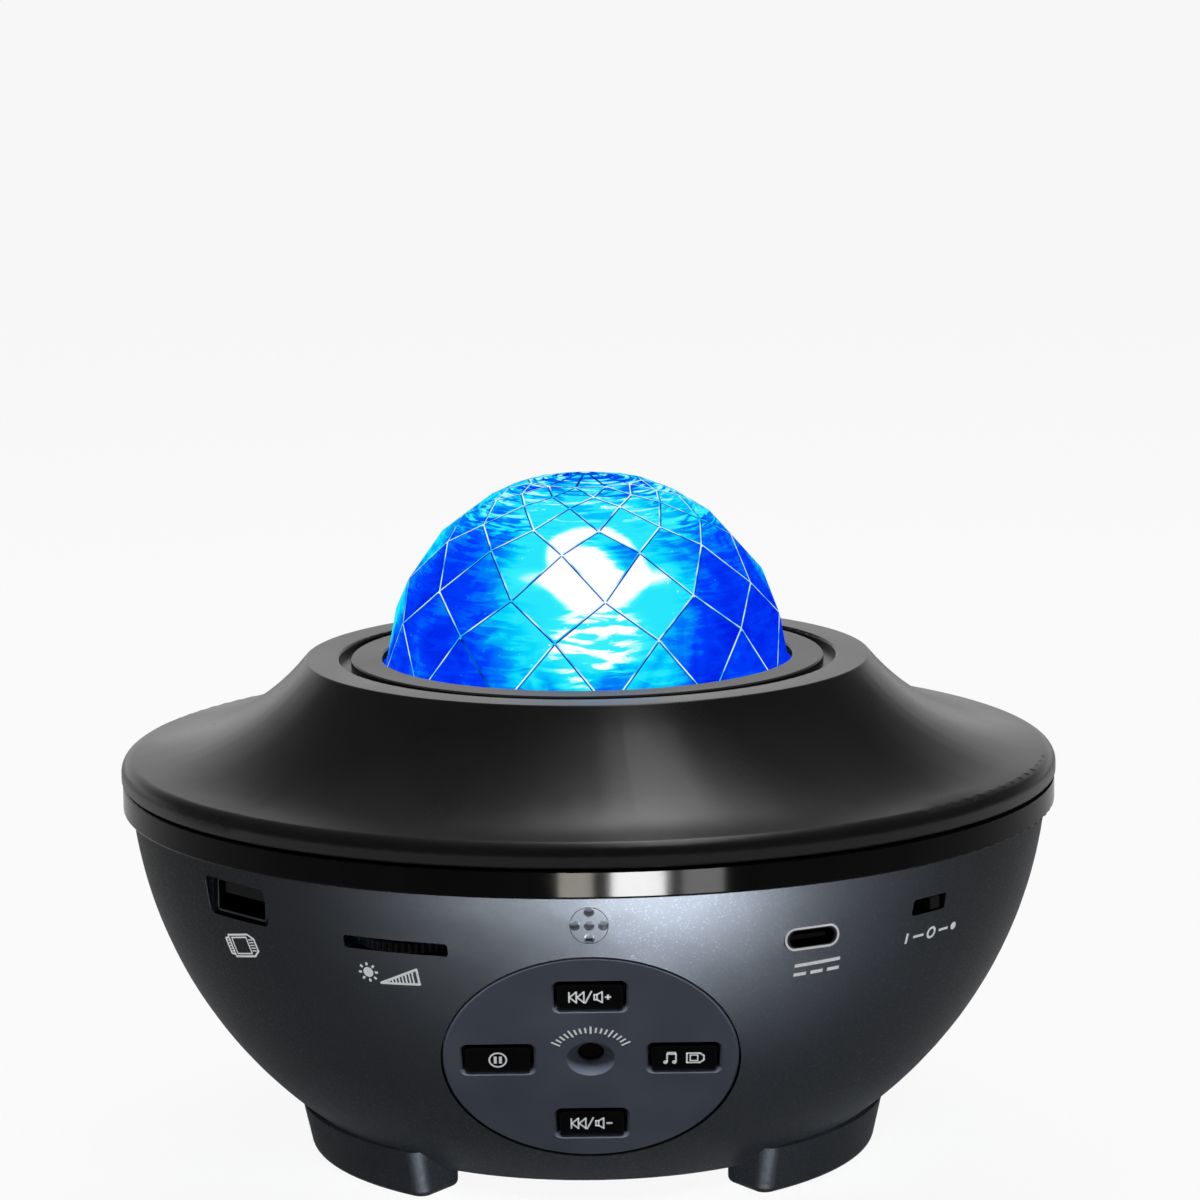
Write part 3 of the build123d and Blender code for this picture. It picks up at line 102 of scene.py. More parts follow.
@dataclass(frozen=True)
class BowlArc:
    """Section of the bowl's outside wall, one arc from its floor to the band's seat."""

    floor_radius: float = 44.32 * MM
    seat_radius: float = 80.6 * MM
    radius: float = 77.0 * MM
    floor_height: float = 4.4 * MM
    seat_height: float = 62.2 * MM

    def centre(self) -> Point:
        """Finds the arc's centre.

        Returns:
            Its radius and height.
        """
        run = self.seat_radius - self.floor_radius
        rise = self.seat_height - self.floor_height
        chord = sqrt(run**2 + rise**2)
        bow = sqrt(self.radius**2 - chord**2 / 4) / chord
        return (
            (self.floor_radius + self.seat_radius) / 2 - rise * bow,
            (self.floor_height + self.seat_height) / 2 + run * bow,
        )


# ------------------------------------------------------------------ shader maths


class Value:
    """A number in a shader. Python's operators on it add Math nodes."""

    def __init__(self, shader: "Shader", socket: bpy.types.NodeSocket) -> None:
        """Wraps an output socket of one of the shader's nodes."""
        self.shader = shader
        self.socket = socket

    def maths(self, operation: str, *terms: "Number") -> "Value":
        """Adds one Math node.

        Args:
            operation: the node's operation, such as ADD.
            terms: its inputs in order.

        Returns:
            The node's result.
        """
        made = self.shader.node("ShaderNodeMath", {"operation": operation}, dict(enumerate(terms)))
        return Value(self.shader, made.outputs[0])

    def __add__(self, other: "Number") -> "Value":
        """Sum."""
        return self.maths("ADD", self, other)

    def __sub__(self, other: "Number") -> "Value":
        """Difference."""
        return self.maths("SUBTRACT", self, other)

    def __rsub__(self, other: "Number") -> "Value":
        """Difference from a plain number."""
        return self.maths("SUBTRACT", other, self)

    def __mul__(self, other: "Number") -> "Value":
        """Product."""
        return self.maths("MULTIPLY", self, other)

    def __pow__(self, other: "Number") -> "Value":
        """Power."""
        return self.maths("POWER", self, other)

    __radd__ = __add__
    __rmul__ = __mul__

    def absolute(self) -> "Value":
        """The number without its sign."""
        return self.maths("ABSOLUTE", self)

    def larger(self, other: "Number") -> "Value":
        """The larger of two numbers."""
        return self.maths("MAXIMUM", self, other)

    def smaller(self, other: "Number") -> "Value":
        """The smaller of two numbers."""
        return self.maths("MINIMUM", self, other)

    def between(self, low: float, high: float) -> "Value":
        """Adds a smooth step.

        Args:
            low: where it starts; below this it is 0.
            high: where it ends; above this it is 1.

        Returns:
            The step.
        """
        made = self.shader.node(
            "ShaderNodeMapRange",
            {"interpolation_type": "SMOOTHSTEP"},
            {"Value": self, "From Min": low, "From Max": high},
        )
        return Value(self.shader, made.outputs[0])


Number = Value | float


class Shader:
    """Node tree of one material, with its Principled shader ready."""

    def __init__(self, name: str, colour: Colour, roughness: float) -> None:
        """Starts a material.

        Args:
            name: the material's name.
            colour: the base colour where nothing else is linked to it.
            roughness: likewise.
        """
        self.material = bpy.data.materials.new(name + "_finish")
        self.material.use_nodes = True
        self.tree = self.material.node_tree
        self.tree.nodes.clear()
        self.surface = self.node(
            "ShaderNodeBsdfPrincipled", {}, {"Base Color": colour, "Roughness": roughness}
        )
        self.end = self.node("ShaderNodeOutputMaterial", {}, {"Surface": self.surface.outputs[0]})
        self.material.diffuse_color = colour

    def node(self, kind: str, settings: dict | None = None, inputs: dict | None = None) -> bpy.types.Node:
        """Adds a node.

        Args:
            kind: the node's type.
            settings: its own settings, set before its sockets; stops are a ramp's positions and colours.
            inputs: values or links by socket name, identifier or index.

        Returns:
            The new node.
        """
        made = self.tree.nodes.new(kind)
        for key, value in (settings or {}).items():
            if key == "stops":
                self.lay_stops(made.color_ramp, value)
            else:
                setattr(made, key, value)
        for key, value in (inputs or {}).items():
            if isinstance(key, int):
                self.feed(made.inputs[key], value)
            else:
                self.feed(next(s for s in made.inputs if key in (s.identifier, s.name)), value)
        return made

    def lay_stops(self, ramp: bpy.types.ColorRamp, stops: Iterable[tuple[float, Colour]]) -> None:
        """Gives a ramp its stops.

        Args:
            ramp: the ramp.
            stops: its positions, from 0 to 1, and their colours.
        """
        stops = list(stops)
        while len(ramp.elements) < len(stops):
            ramp.elements.new(0.5)
        for element, (position, colour) in zip(ramp.elements, stops):
            element.position = position
            element.color = colour

    def feed(self, socket: bpy.types.NodeSocket, value: object) -> None:
        """Links a value or socket to an input, or sets the input's own value.

        Args:
            socket: the input.
            value: a Value, a socket, or what the input holds where nothing is linked.
        """
        if isinstance(value, Value):
            value = value.socket
        if isinstance(value, bpy.types.NodeSocket):
            self.tree.links.new(value, socket)
        else:
            socket.default_value = value

    def set(self, **inputs: object) -> None:
        """Sets or links inputs of the Principled shader; a name's underscores stand for spaces."""
        for name, value in inputs.items():
            self.feed(self.surface.inputs[name.replace("_", " ")], value)

    def place(self, stretch: Triple = EVEN) -> bpy.types.NodeSocket:
        """Looks up Object coordinates.

        Args:
            stretch: the scale along each axis.

        Returns:
            The coordinates.
        """
        where = self.node("ShaderNodeTexCoord").outputs["Object"]
        if stretch == EVEN:
            return where
        return self.node("ShaderNodeMapping", {}, {"Vector": where, "Scale": stretch}).outputs[0]

    def vector(self, operation: str, *terms: object) -> bpy.types.Node:
        """Adds a Vector Math node of an operation on its terms."""
        return self.node("ShaderNodeVectorMath", {"operation": operation}, dict(enumerate(terms)))

    def noise(
        self,
        pitch: float,
        detail: float = 2.0,
        stretch: Triple = EVEN,
        swirl: float = 0.0,
        where: bpy.types.NodeSocket | None = None,
    ) -> Value:
        """Soft noise from 0 to 1.

        Args:
            pitch: size of one blot in metres.
            detail: how many finer layers it has.
            stretch: scale along each axis; below 1 draws the blots out.
            swirl: how far the blots are bent.
            where: the place it is looked up at, if not the surface's own.

        Returns:
            The noise.
        """
        where = where or self.place(stretch)
        inputs = {"Vector": where, "Scale": 1 / pitch, "Detail": detail, "Distortion": swirl}
        return Value(self, self.node("ShaderNodeTexNoise", {}, inputs).outputs[0])

    def radius_and_height(self) -> tuple[Value, Value]:
        """Measures where the surface is.

        Returns:
            How far it is from the object's upright axis, and how high.
        """
        flat = self.vector("MULTIPLY", self.place(), Vector((1, 1, 0))).outputs[0]
        radius = Value(self, self.vector("LENGTH", flat).outputs["Value"])
        return radius, self.share_along(self.place(), UP)

    def share_along(self, vector: bpy.types.NodeSocket, axis: Vector) -> Value:
        """How far a vector reaches along an axis."""
        return Value(self, self.vector("DOT_PRODUCT", vector, axis).outputs["Value"])

    def flecks(self, pitch: float) -> Value:
        """Scatters fine grains.

        Args:
            pitch: size of one grain in metres.

        Returns:
            A random number from 0 to 1 for each grain.
        """
        cells = self.node("ShaderNodeTexVoronoi", {}, {"Vector": self.place(), "Scale": 1 / pitch})
        parts = self.node("ShaderNodeSeparateColor", {}, {0: cells.outputs["Color"]})
        return Value(self, parts.outputs[0])

    def mixed(self, share: Value, low: Colour, high: Colour) -> bpy.types.NodeSocket:
        """Mixes two colours.

        Args:
            share: how much there is of the second.
            low: the first colour.
            high: the second colour.

        Returns:
            The mixed colour.
        """
        made = self.node(
            "ShaderNodeMix", {"data_type": "RGBA"}, {"Factor_Float": share, "A_Color": low, "B_Color": high}
        )
        return next(s for s in made.outputs if s.identifier == "Result_Color")

    def relief(self, height: Value, depth: float) -> None:
        """Raises the surface.

        Args:
            height: the relief, from 0 to 1.
            depth: what a height of 1 stands for in metres.
        """
        bump = self.node("ShaderNodeBump", {}, {"Height": height, "Distance": depth, "Strength": 1.0})
        self.set(Normal=bump.outputs[0])


# ------------------------------------------------------------------ finishes


@dataclass(frozen=True)
class Moulding:
    """Plastic or rubber as it leaves the mould: a fine grain and slightly uneven gloss."""

    name: str
    colour: Colour
    roughness: float = 0.45
    grain: float = 0.35 * MM
    depth: float = 0.004 * MM
    specular: float = 0.4
    uneven: float = 0.08
    blot: float = 18 * MM

    def material(self) -> bpy.types.Material:
        """Makes the material.

        Returns:
            The material.
        """
        made = Shader(self.name, self.colour, self.roughness)
        grain = made.noise(self.grain, 3.0)
        blots = made.noise(self.blot, 2.0)
        tones = toned(self.colour, 0.82), toned(self.colour, 1.15)
        made.set(Base_Color=made.mixed(blots.between(0.3, 0.7), *tones))
        made.set(Roughness=self.roughness + (blots - 0.5) * self.uneven + (grain - 0.5) * self.uneven)
        made.set(Specular_IOR_Level=self.specular)
        made.relief(grain, self.depth)
        return made.material


@dataclass(frozen=True)
class FleckPaint:
    """Satin paint with metal flecks that sparkle; the walls of the holes through it are bare, and leaving the
    light flecks off them also darkens them as painted shade.
    """

    name: str
    colour: Colour
    fleck_colour: Colour
    roughness: float = 0.43
    specular: float = 0.04
    fleck: float = 0.20 * MM
    fleck_metal: float = 0.025
    bare_roughness: float = 0.10
    # the same depths set where the painted shade down the walls of holes begins, and where it is full
    skin: Point = (0.12 * MM, 0.30 * MM)  # depth at which the paint starts to end, and has ended
    foot: Point = (7 * MM, 8 * MM)  # heights between which the wall's arc takes over from the feet
    brim: Point = (60 * MM, 61 * MM)  # heights between which it ends under the band
    arc: BowlArc = BowlArc()

    def material(self) -> bpy.types.Material:
        """Makes the material.

        Returns:
            The material.
        """
        made = Shader(self.name, self.colour, self.roughness)
        flecks = made.flecks(self.fleck)
        bright = flecks.between(0.86, 0.98)
        blots = made.noise(25 * MM, 2.0)
        # painted shade: down the walls of holes the light flecks are left off, which darkens them; there the
        # walls are also bare and glossy
        paint_out_of_shade = 1.0 - self.depth(made).between(*self.skin)
        made.set(Base_Color=made.mixed(bright * paint_out_of_shade, self.colour, self.fleck_colour))
        made.set(Metallic=bright * paint_out_of_shade * self.fleck_metal)
        satin = self.roughness - self.bare_roughness + (blots - 0.5) * 0.04 - bright * 0.10
        made.set(Roughness=paint_out_of_shade * satin + self.bare_roughness)
        made.set(Specular_IOR_Level=self.specular)
        made.relief(made.noise(0.45 * MM, 3.0), 0.004 * MM)
        return made.material

    def depth(self, made: Shader) -> Value:
        """Measures how far the surface lies below the wall's outside.

        Args:
            made: the shader.

        Returns:
            The depth in metres, which is 0 at the feet and over the wall.
        """
        centre_radius, centre_height = self.arc.centre()
        radius, height = made.radius_and_height()
        across, along = radius - centre_radius, height - centre_height
        depth = self.arc.radius - (across * across + along * along) ** 0.5
        return depth * height.between(*self.foot) * (1.0 - height.between(*self.brim))


@dataclass(frozen=True)
class DarkChrome:
    """Black chrome over smooth plastic."""

    name: str
    colour: Colour
    tint: Colour

    def material(self) -> bpy.types.Material:
        """Makes the material.

        Returns:
            The material.
        """
        made = Shader(self.name, self.colour, 0.09)
        sweep = made.noise(9 * MM, 2.0, (1.0, 1.0, 0.02))
        haze = made.noise(1.2 * MM, 2.0)
        made.set(Base_Color=made.mixed(sweep.between(0.35, 0.7), self.colour, self.tint))
        made.set(Roughness=haze * 0.05 + sweep * 0.06 + 0.05)
        made.set(Specular_IOR_Level=0.08)
        made.relief(sweep * 0.7 + haze * 0.3, 0.004 * MM)
        return made.material


@dataclass(frozen=True)
class BareMetal:
    """Turned or plated metal with fine marks along one direction."""

    name: str
    colour: Colour
    roughness: float = 0.28
    stretch: Triple = (1.0, 1.0, 0.06)

    def material(self) -> bpy.types.Material:
        """Makes the material.

        Returns:
            The material.
        """
        made = Shader(self.name, self.colour, self.roughness)
        marks = made.noise(0.25 * MM, 3.0, self.stretch)
        blots = made.noise(3 * MM)
        stained = made.mixed(blots.between(0.35, 0.75), self.colour, toned(self.colour, 0.7))
        made.set(Metallic=1.0, Base_Color=stained)
        made.set(Roughness=self.roughness + (marks - 0.5) * 0.2)
        made.relief(marks, 0.003 * MM)
        return made.material


@dataclass(frozen=True)
class CircuitBoard:
    """Board under solder mask, its tracks just showing."""

    name: str
    colour: Colour
    track: Colour
    pitch: float = 2.4 * MM

    def material(self) -> bpy.types.Material:
        """Makes the material.

        Returns:
            The material.
        """
        made = Shader(self.name, self.colour, 0.35)
        ways = [made.noise(self.pitch, 0.0, way) for way in ((1.0, 0.12, 1.0), (0.12, 1.0, 1.0))]
        along, across = [way.between(0.50, 0.52) - way.between(0.56, 0.58) for way in ways]
        tracks = along.larger(across)
        made.set(Base_Color=made.mixed(tracks, self.colour, self.track))
        made.set(Roughness=made.noise(1 * MM) * 0.15 + 0.28)
        made.relief(tracks, 0.03 * MM)
        return made.material


@dataclass(frozen=True)
class ClearMoulding:
    """Clear plastic with a wavy surface that glows where the lamp stands behind it."""

    name: str
    colour: Colour
    glow: Colour
    strength: float
    ripple: float = 3.5 * MM

    def material(self) -> bpy.types.Material:
        """Makes the material.

        Returns:
            The material.
        """
        made = Shader(self.name, self.colour, 0.08)
        waves = made.noise(self.ripple, 2.0)
        made.set(Emission_Color=made.mixed(waves.between(0.35, 0.65), toned(self.glow, 0.25), self.glow))
        made.set(Emission_Strength=self.strength, Transmission_Weight=0.4, IOR=1.49)
        made.relief(waves, 0.25 * MM)
        return made.material


@dataclass(frozen=True)
class Ink:
    """Printed ink, uneven in thickness, with a painted glow that keeps it white where little light falls on
    it.
    """

    name: str
    colour: Colour
    glow: float = 0.30

    def material(self) -> bpy.types.Material:
        """Makes the material.

        Returns:
            The material.
        """
        made = Shader(self.name, self.colour, 0.55)
        thin = made.noise(0.18 * MM, 2.0).between(0.25, 0.75)
        made.set(Base_Color=made.mixed(thin, toned(self.colour, 0.86), self.colour))
        # painted glow: the ink gives back light of its own so that it stays white where little light falls
        made.set(Emission_Color=self.colour, Emission_Strength=self.glow)
        made.relief(thin, 0.004 * MM)
        return made.material


@dataclass(frozen=True)
class LitFacet:
    """Clear acrylic lit from inside: white over the lamp, cyan about it, deep blue away from it.

    The lamp's beams meet the dome at three places, spaced evenly round it, and shine again from the
    bezel below. Each facet bends the light its own way, so the glow jumps from one to the next. Light
    is counted from 0, deep blue, to 1, white, and nearness to a beam is 1 on its axis.
    """

    name: str
    centre: Vector
    beam_azimuths: tuple[float, ...] = (2.0, 122.0, 242.0)
    beam_lift: float = 41.0  # degrees above level
    low_lift: float = 19.0
    core: Point = (0.970, 0.992)  # nearness at which a beam's white core starts, and is full
    core_light: float = 0.50
    low_core: Point = (0.965, 0.998)
    low_light: Point = (0.06, 0.26)  # even, and in streaks
    arms: Point = (0.90, 0.985)  # nearness over which a core's level arms fade
    arm_height: float = 0.60  # as a share of the dome's radius
    arm_thinness: float = 18.0
    arm_light: float = 0.30
    halo_from: float = 0.70
    halo_light: float = 1.5
    low_halo: Point = (0.80, 0.98)
    low_halo_light: float = 0.22
    crown: Point = (0.70, 0.92)  # heights over which the crown's light and streaks set in
    crown_light: float = 0.40
    crown_streaks: float = 0.44
    streaks: float = 0.10
    base_light: float = 0.17
    brightest_glow: float = 0.69  # outside the cores
    facet_jump: float = 0.18
    cloud: float = 15 * MM
    cloud_light: float = 0.80
    clear_sky: Point = (0.84, 0.95)  # nearness over which the clouds thin out
    clearing: float = 0.62
    line: float = 6.5 * MM
    line_crowding: float = 5.0  # how many times closer together the lines run up the dome
    line_edge: Point = (0.42, 0.60)
    bright_lines: Point = (0.85, 1.0)  # of the lines, those that sparkle on the crown
    spark: float = 1.1 * MM
    spark_edge: Point = (0.70, 0.80)
    spark_light: float = 0.16
    shift: float = 4.5 * MM  # how far a facet moves the light behind it
    cloud_shift: float = 0.3  # metres, so that no facet's clouds run on into the next
    glow: tuple[tuple[float, Colour], ...] = (
        (0.0, srgb(0, 30, 226)),
        (0.28, srgb(0, 62, 252)),
        (0.46, srgb(2, 132, 248)),
        (0.62, srgb(8, 218, 252)),
        (0.78, srgb(60, 244, 250)),
        (0.87, srgb(200, 252, 252)),
        (0.93, WHITE),
    )

    def material(self) -> bpy.types.Material:
        """Makes the material.

        Returns:
            The material.
        """
        made = Shader(self.name, srgb(0, 8, 40), 0.12)
        facet = Value(made, made.node("ShaderNodeAttribute", {"attribute_name": "facet"}).outputs["Fac"])
        offset = made.vector("SUBTRACT", made.place(), self.centre).outputs[0]
        height = made.share_along(made.vector("NORMALIZE", offset).outputs[0], UP)
        bent = self.moved(made, offset, facet, self.shift)
        outward = made.vector("NORMALIZE", bent).outputs[0]
        near = self.nearness(made, outward, self.beam_lift)
        below = self.nearness(made, outward, self.low_lift)
        apart = self.moved(made, offset, facet, self.cloud_shift)
        clouds = made.noise(self.cloud, 3.0, swirl=1.2, where=apart)
        lines = self.lines(made)
        crown = height.between(*self.crown)

        glow = (near - self.halo_from).larger(0.0) * self.halo_light + self.base_light
        glow = glow + below.between(*self.low_halo) * self.low_halo_light + crown * self.crown_light
        glow = glow + (facet - 0.5) * self.facet_jump
        glow = glow + (lines - 0.5) * (crown * self.crown_streaks + self.streaks)
        glow = glow + (clouds - 0.5) * (self.cloud_light - near.between(*self.clear_sky) * self.clearing)

        even, streaked = self.low_light
        thin = (1.0 - (height - self.arm_height).absolute() * self.arm_thinness).larger(0.0)
        sparks = made.noise(self.spark, 1.0, (1.0, 1.0, 1.6)).between(*self.spark_edge)
        light = glow.smaller(self.brightest_glow) + near.between(*self.core) * self.core_light
        light = light + thin * near.between(*self.arms) * self.arm_light
        light = light + below.between(*self.low_core) * (lines * streaked + even)
        light = light + (sparks + lines.between(*self.bright_lines) * crown) * self.spark_light

        ramp = made.node("ShaderNodeValToRGB", {"stops": self.glow}, {0: light})
        made.set(Emission_Color=ramp.outputs[0], Emission_Strength=1.0, Specular_IOR_Level=0.0)
        made.set(Roughness=clouds * 0.05 + 0.08)
        made.relief(clouds, 0.10 * MM)
        return made.material

    def moved(
        self, made: Shader, place: bpy.types.NodeSocket, facet: Value, reach: float
    ) -> bpy.types.NodeSocket:
        """Moves a place by an offset that is each facet's own.

        Args:
            made: the shader.
            place: the place.
            facet: the facet's number.
            reach: the width of the range that it moves over along each axis, in metres.

        Returns:
            The moved place.
        """
        dice = made.node("ShaderNodeTexWhiteNoise", {"noise_dimensions": "1D"}, {"W": facet}).outputs["Color"]
        dice = made.vector("SUBTRACT", dice, Vector((0.5, 0.5, 0.5))).outputs[0]
        return made.vector("MULTIPLY_ADD", dice, Vector((reach, reach, reach)), place).outputs[0]

    def nearness(self, made: Shader, outward: bpy.types.NodeSocket, lift: float) -> Value:
        """Measures how near a direction is to the nearest beam.

        Args:
            made: the shader.
            outward: the direction.
            lift: the beams' lift above level in degrees.

        Returns:
            The nearness, 1 on a beam's axis.
        """
        rise = radians(lift)
        beams = [polar(cos(rise), azimuth, sin(rise)) for azimuth in self.beam_azimuths]
        return reduce(Value.larger, [made.share_along(outward, beam) for beam in beams])

    def lines(self, made: Shader) -> Value:
        """Draws fine lines of light that run round the dome, closer together towards its crown.

        Args:
            made: the shader.

        Returns:
            The lines, from 0 to 1.
        """
        radius, height = made.radius_and_height()
        climb = (radius - height) * self.line_crowding
        along = made.node("ShaderNodeCombineXYZ", {}, {"Z": climb}).outputs[0]
        where = made.vector("ADD", along, made.place()).outputs[0]
        return made.noise(self.line, 4.0, swirl=0.6, where=where).between(*self.line_edge)


@dataclass(frozen=True)
class LitEdge:
    """One side of the rounded edge between two facets, which gathers the lamp's light or lacks it."""

    name: str
    dim: Colour
    bright: Colour

    def material(self) -> bpy.types.Material:
        """Makes the material.

        Returns:
            The material.
        """
        made = Shader(self.name, srgb(0, 12, 50), 0.10)
        breaks = made.noise(5 * MM, 2.0)
        made.set(Emission_Color=made.mixed(breaks.between(0.38, 0.58), self.dim, self.bright))
        made.set(Emission_Strength=1.0, Specular_IOR_Level=0.0)
        made.relief(breaks, 0.02 * MM)
        return made.material


class Finish(Enum):
    """Finishes of the projector's pieces, by the record's material slot."""

    BOWL = FleckPaint("bowl_plastic", srgb(17, 18, 20), srgb(52, 58, 70))
    LID = Moulding("lid_plastic", srgb(30, 30, 31), 0.30, 0.3 * MM, 0.003 * MM, 0.45)
    BAND = DarkChrome("band_plastic", srgb(4, 4, 4), srgb(14, 13, 11))
    BEZEL = Moulding("bezel_plastic", srgb(64, 64, 66), 0.34, 0.3 * MM, 0.003 * MM, 0.5)
    PANEL = Moulding("panel_plastic", srgb(74, 79, 92), 0.55, 0.25 * MM, 0.004 * MM, 0.3)
    KEY = Moulding("key_plastic", srgb(4, 4, 5), 0.22, 0.8 * MM, 0.001 * MM, 0.06)
    WINDOW = Moulding("window_plastic", srgb(5, 3, 4), 0.10, 1.0 * MM, 0.001 * MM, 0.05)
    BLACK = Moulding("black_plastic", srgb(16, 16, 18), 0.35, specular=0.10)
    INNER = Moulding("inner_plastic", srgb(214, 214, 208), 0.50)
    GEAR = Moulding("gear_plastic", srgb(232, 228, 214), 0.40)
    RUBBER = Moulding("rubber", srgb(28, 28, 28), 0.75, 0.5 * MM, 0.010 * MM, 0.3)
    MASK = CircuitBoard("circuit_board", srgb(22, 84, 48), srgb(48, 128, 76))
    WHITE_MASK = CircuitBoard("white_board", srgb(225, 226, 222), srgb(205, 208, 204))
    CHIP = ClearMoulding("led_chip", srgb(235, 240, 255), (0.6, 0.9, 1.0, 1.0), 2.0, 1.0 * MM)
    CLEAR = ClearMoulding("clear_plastic", srgb(180, 225, 255), (0.1, 0.6, 1.0, 1.0), 0.8)
    STEEL = BareMetal("steel", srgb(170, 170, 172), 0.35)
    PORT = BareMetal("port_metal", srgb(62, 62, 66), 0.30, (1.0, 0.1, 1.0))
    ALUMINIUM = BareMetal("aluminium", srgb(190, 192, 195), 0.40)
    BRASS = BareMetal("brass", srgb(196, 160, 92), 0.30)
    MAGNET = Moulding("magnet", srgb(58, 58, 60), 0.60, 0.4 * MM, 0.02 * MM)
    PAPER = Moulding("paper_cone", srgb(32, 32, 34), 0.85, 0.25 * MM, 0.03 * MM, 0.2)
    WHITE_INK = Ink("white_ink", srgb(238, 240, 242))

    @cache
    def material(self) -> bpy.types.Material:
        """The finish's material, made once."""
        return self.value.material()


def dress(piece: bpy.types.Object, *finishes: bpy.types.Material) -> None:
    """Puts materials in a piece's slots, in place of those it had.

    Args:
        piece: the object.
        finishes: its materials in order.
    """
    while len(piece.data.materials) > len(finishes):
        piece.data.materials.pop()
    for index, material in enumerate(finishes):
        if index < len(piece.data.materials):
            piece.data.materials[index] = material
        else:
            piece.data.materials.append(material)


def new_piece(
    name: str, mesh: bmesh.types.BMesh, body: str, slot: str, *finishes: bpy.types.Material
) -> bpy.types.Object:
    """Makes an object of a finished mesh.

    Args:
        name: the piece's name.
        mesh: its mesh, which is freed.
        body: the CAD body it rides on.
        slot: the record's material slot; not used.
        finishes: its materials in order.

    Returns:
        The new object.
    """
    data = bpy.data.meshes.new(name)
    mesh.to_mesh(data)
    mesh.free()
    stored = data.attributes.get("custom_normal")
    if stored:
        data.attributes.remove(stored)
    piece = bpy.data.objects.new(name, data)
    bpy.context.scene.collection.objects.link(piece)
    dress(piece, *finishes)
    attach(piece, body)
    log.info("%s: %d faces on body %s", name, len(data.polygons), body)
    return piece


def merged_copy(node: str) -> bmesh.types.BMesh:
    """Copies a CAD node's mesh as one joined surface.

    Args:
        node: the node's name.

    Returns:
        The copy.
    """
    mesh = bmesh.new()
    mesh.from_mesh(frame["nodes"][node].data)
    bmesh.ops.remove_doubles(mesh, verts=mesh.verts, dist=TOUCHING)
    return mesh


def shown(node: str) -> bpy.types.Object:
    """The object that shows a CAD node: the piece made for it, or the node itself."""
    return bpy.data.objects.get(node + SHELL) or frame["nodes"][node]


# ------------------------------------------------------------------ carried-over CAD nodes


@dataclass
class CarriedNodes:
    """CAD nodes that are shown as they are, dressed by the slot the record gives them."""

    left_out: tuple[str, ...]

    def build(self) -> None:
        """Gives each node its finish."""
        by_slot = {finish.value.name: finish for finish in Finish}
        for row in frame["record"]["subparts"]:
            node = row["node"]
            if node in self.left_out:
                continue
            dress(frame["nodes"][node], by_slot[row["material_slot"]].material())
            log.info("%s: dressed as %s", node, row["material_slot"])


@dataclass
class SmoothedNode:
    """A turned CAD node whose rounded edges run on into its walls without a break in shade."""

    node: str
    slot: str
    finish: Finish
    sharp_from: float = 28.0  # degrees
    sliver: float = 0.02 * MM  # edges shorter than this are closed up

    def build(self) -> bpy.types.Object:
        """Builds the piece from the CAD node's own mesh.

        Returns:
            The piece.
        """
        mesh = merged_copy(self.node)
        bmesh.ops.dissolve_degenerate(mesh, edges=mesh.edges, dist=self.sliver)
        for face in mesh.faces:
            face.smooth = True
        for edge in mesh.edges:
            edge.smooth = len(edge.link_faces) == 2 and edge.calc_face_angle(0) < radians(self.sharp_from)
        piece = new_piece(self.node + SHELL, mesh, "root", self.slot, self.finish.material())
        piece.modifiers.new("wide_faces_first", "WEIGHTED_NORMAL").keep_sharp = True
        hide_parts(self.node)
        return piece


# ------------------------------------------------------------------ dome


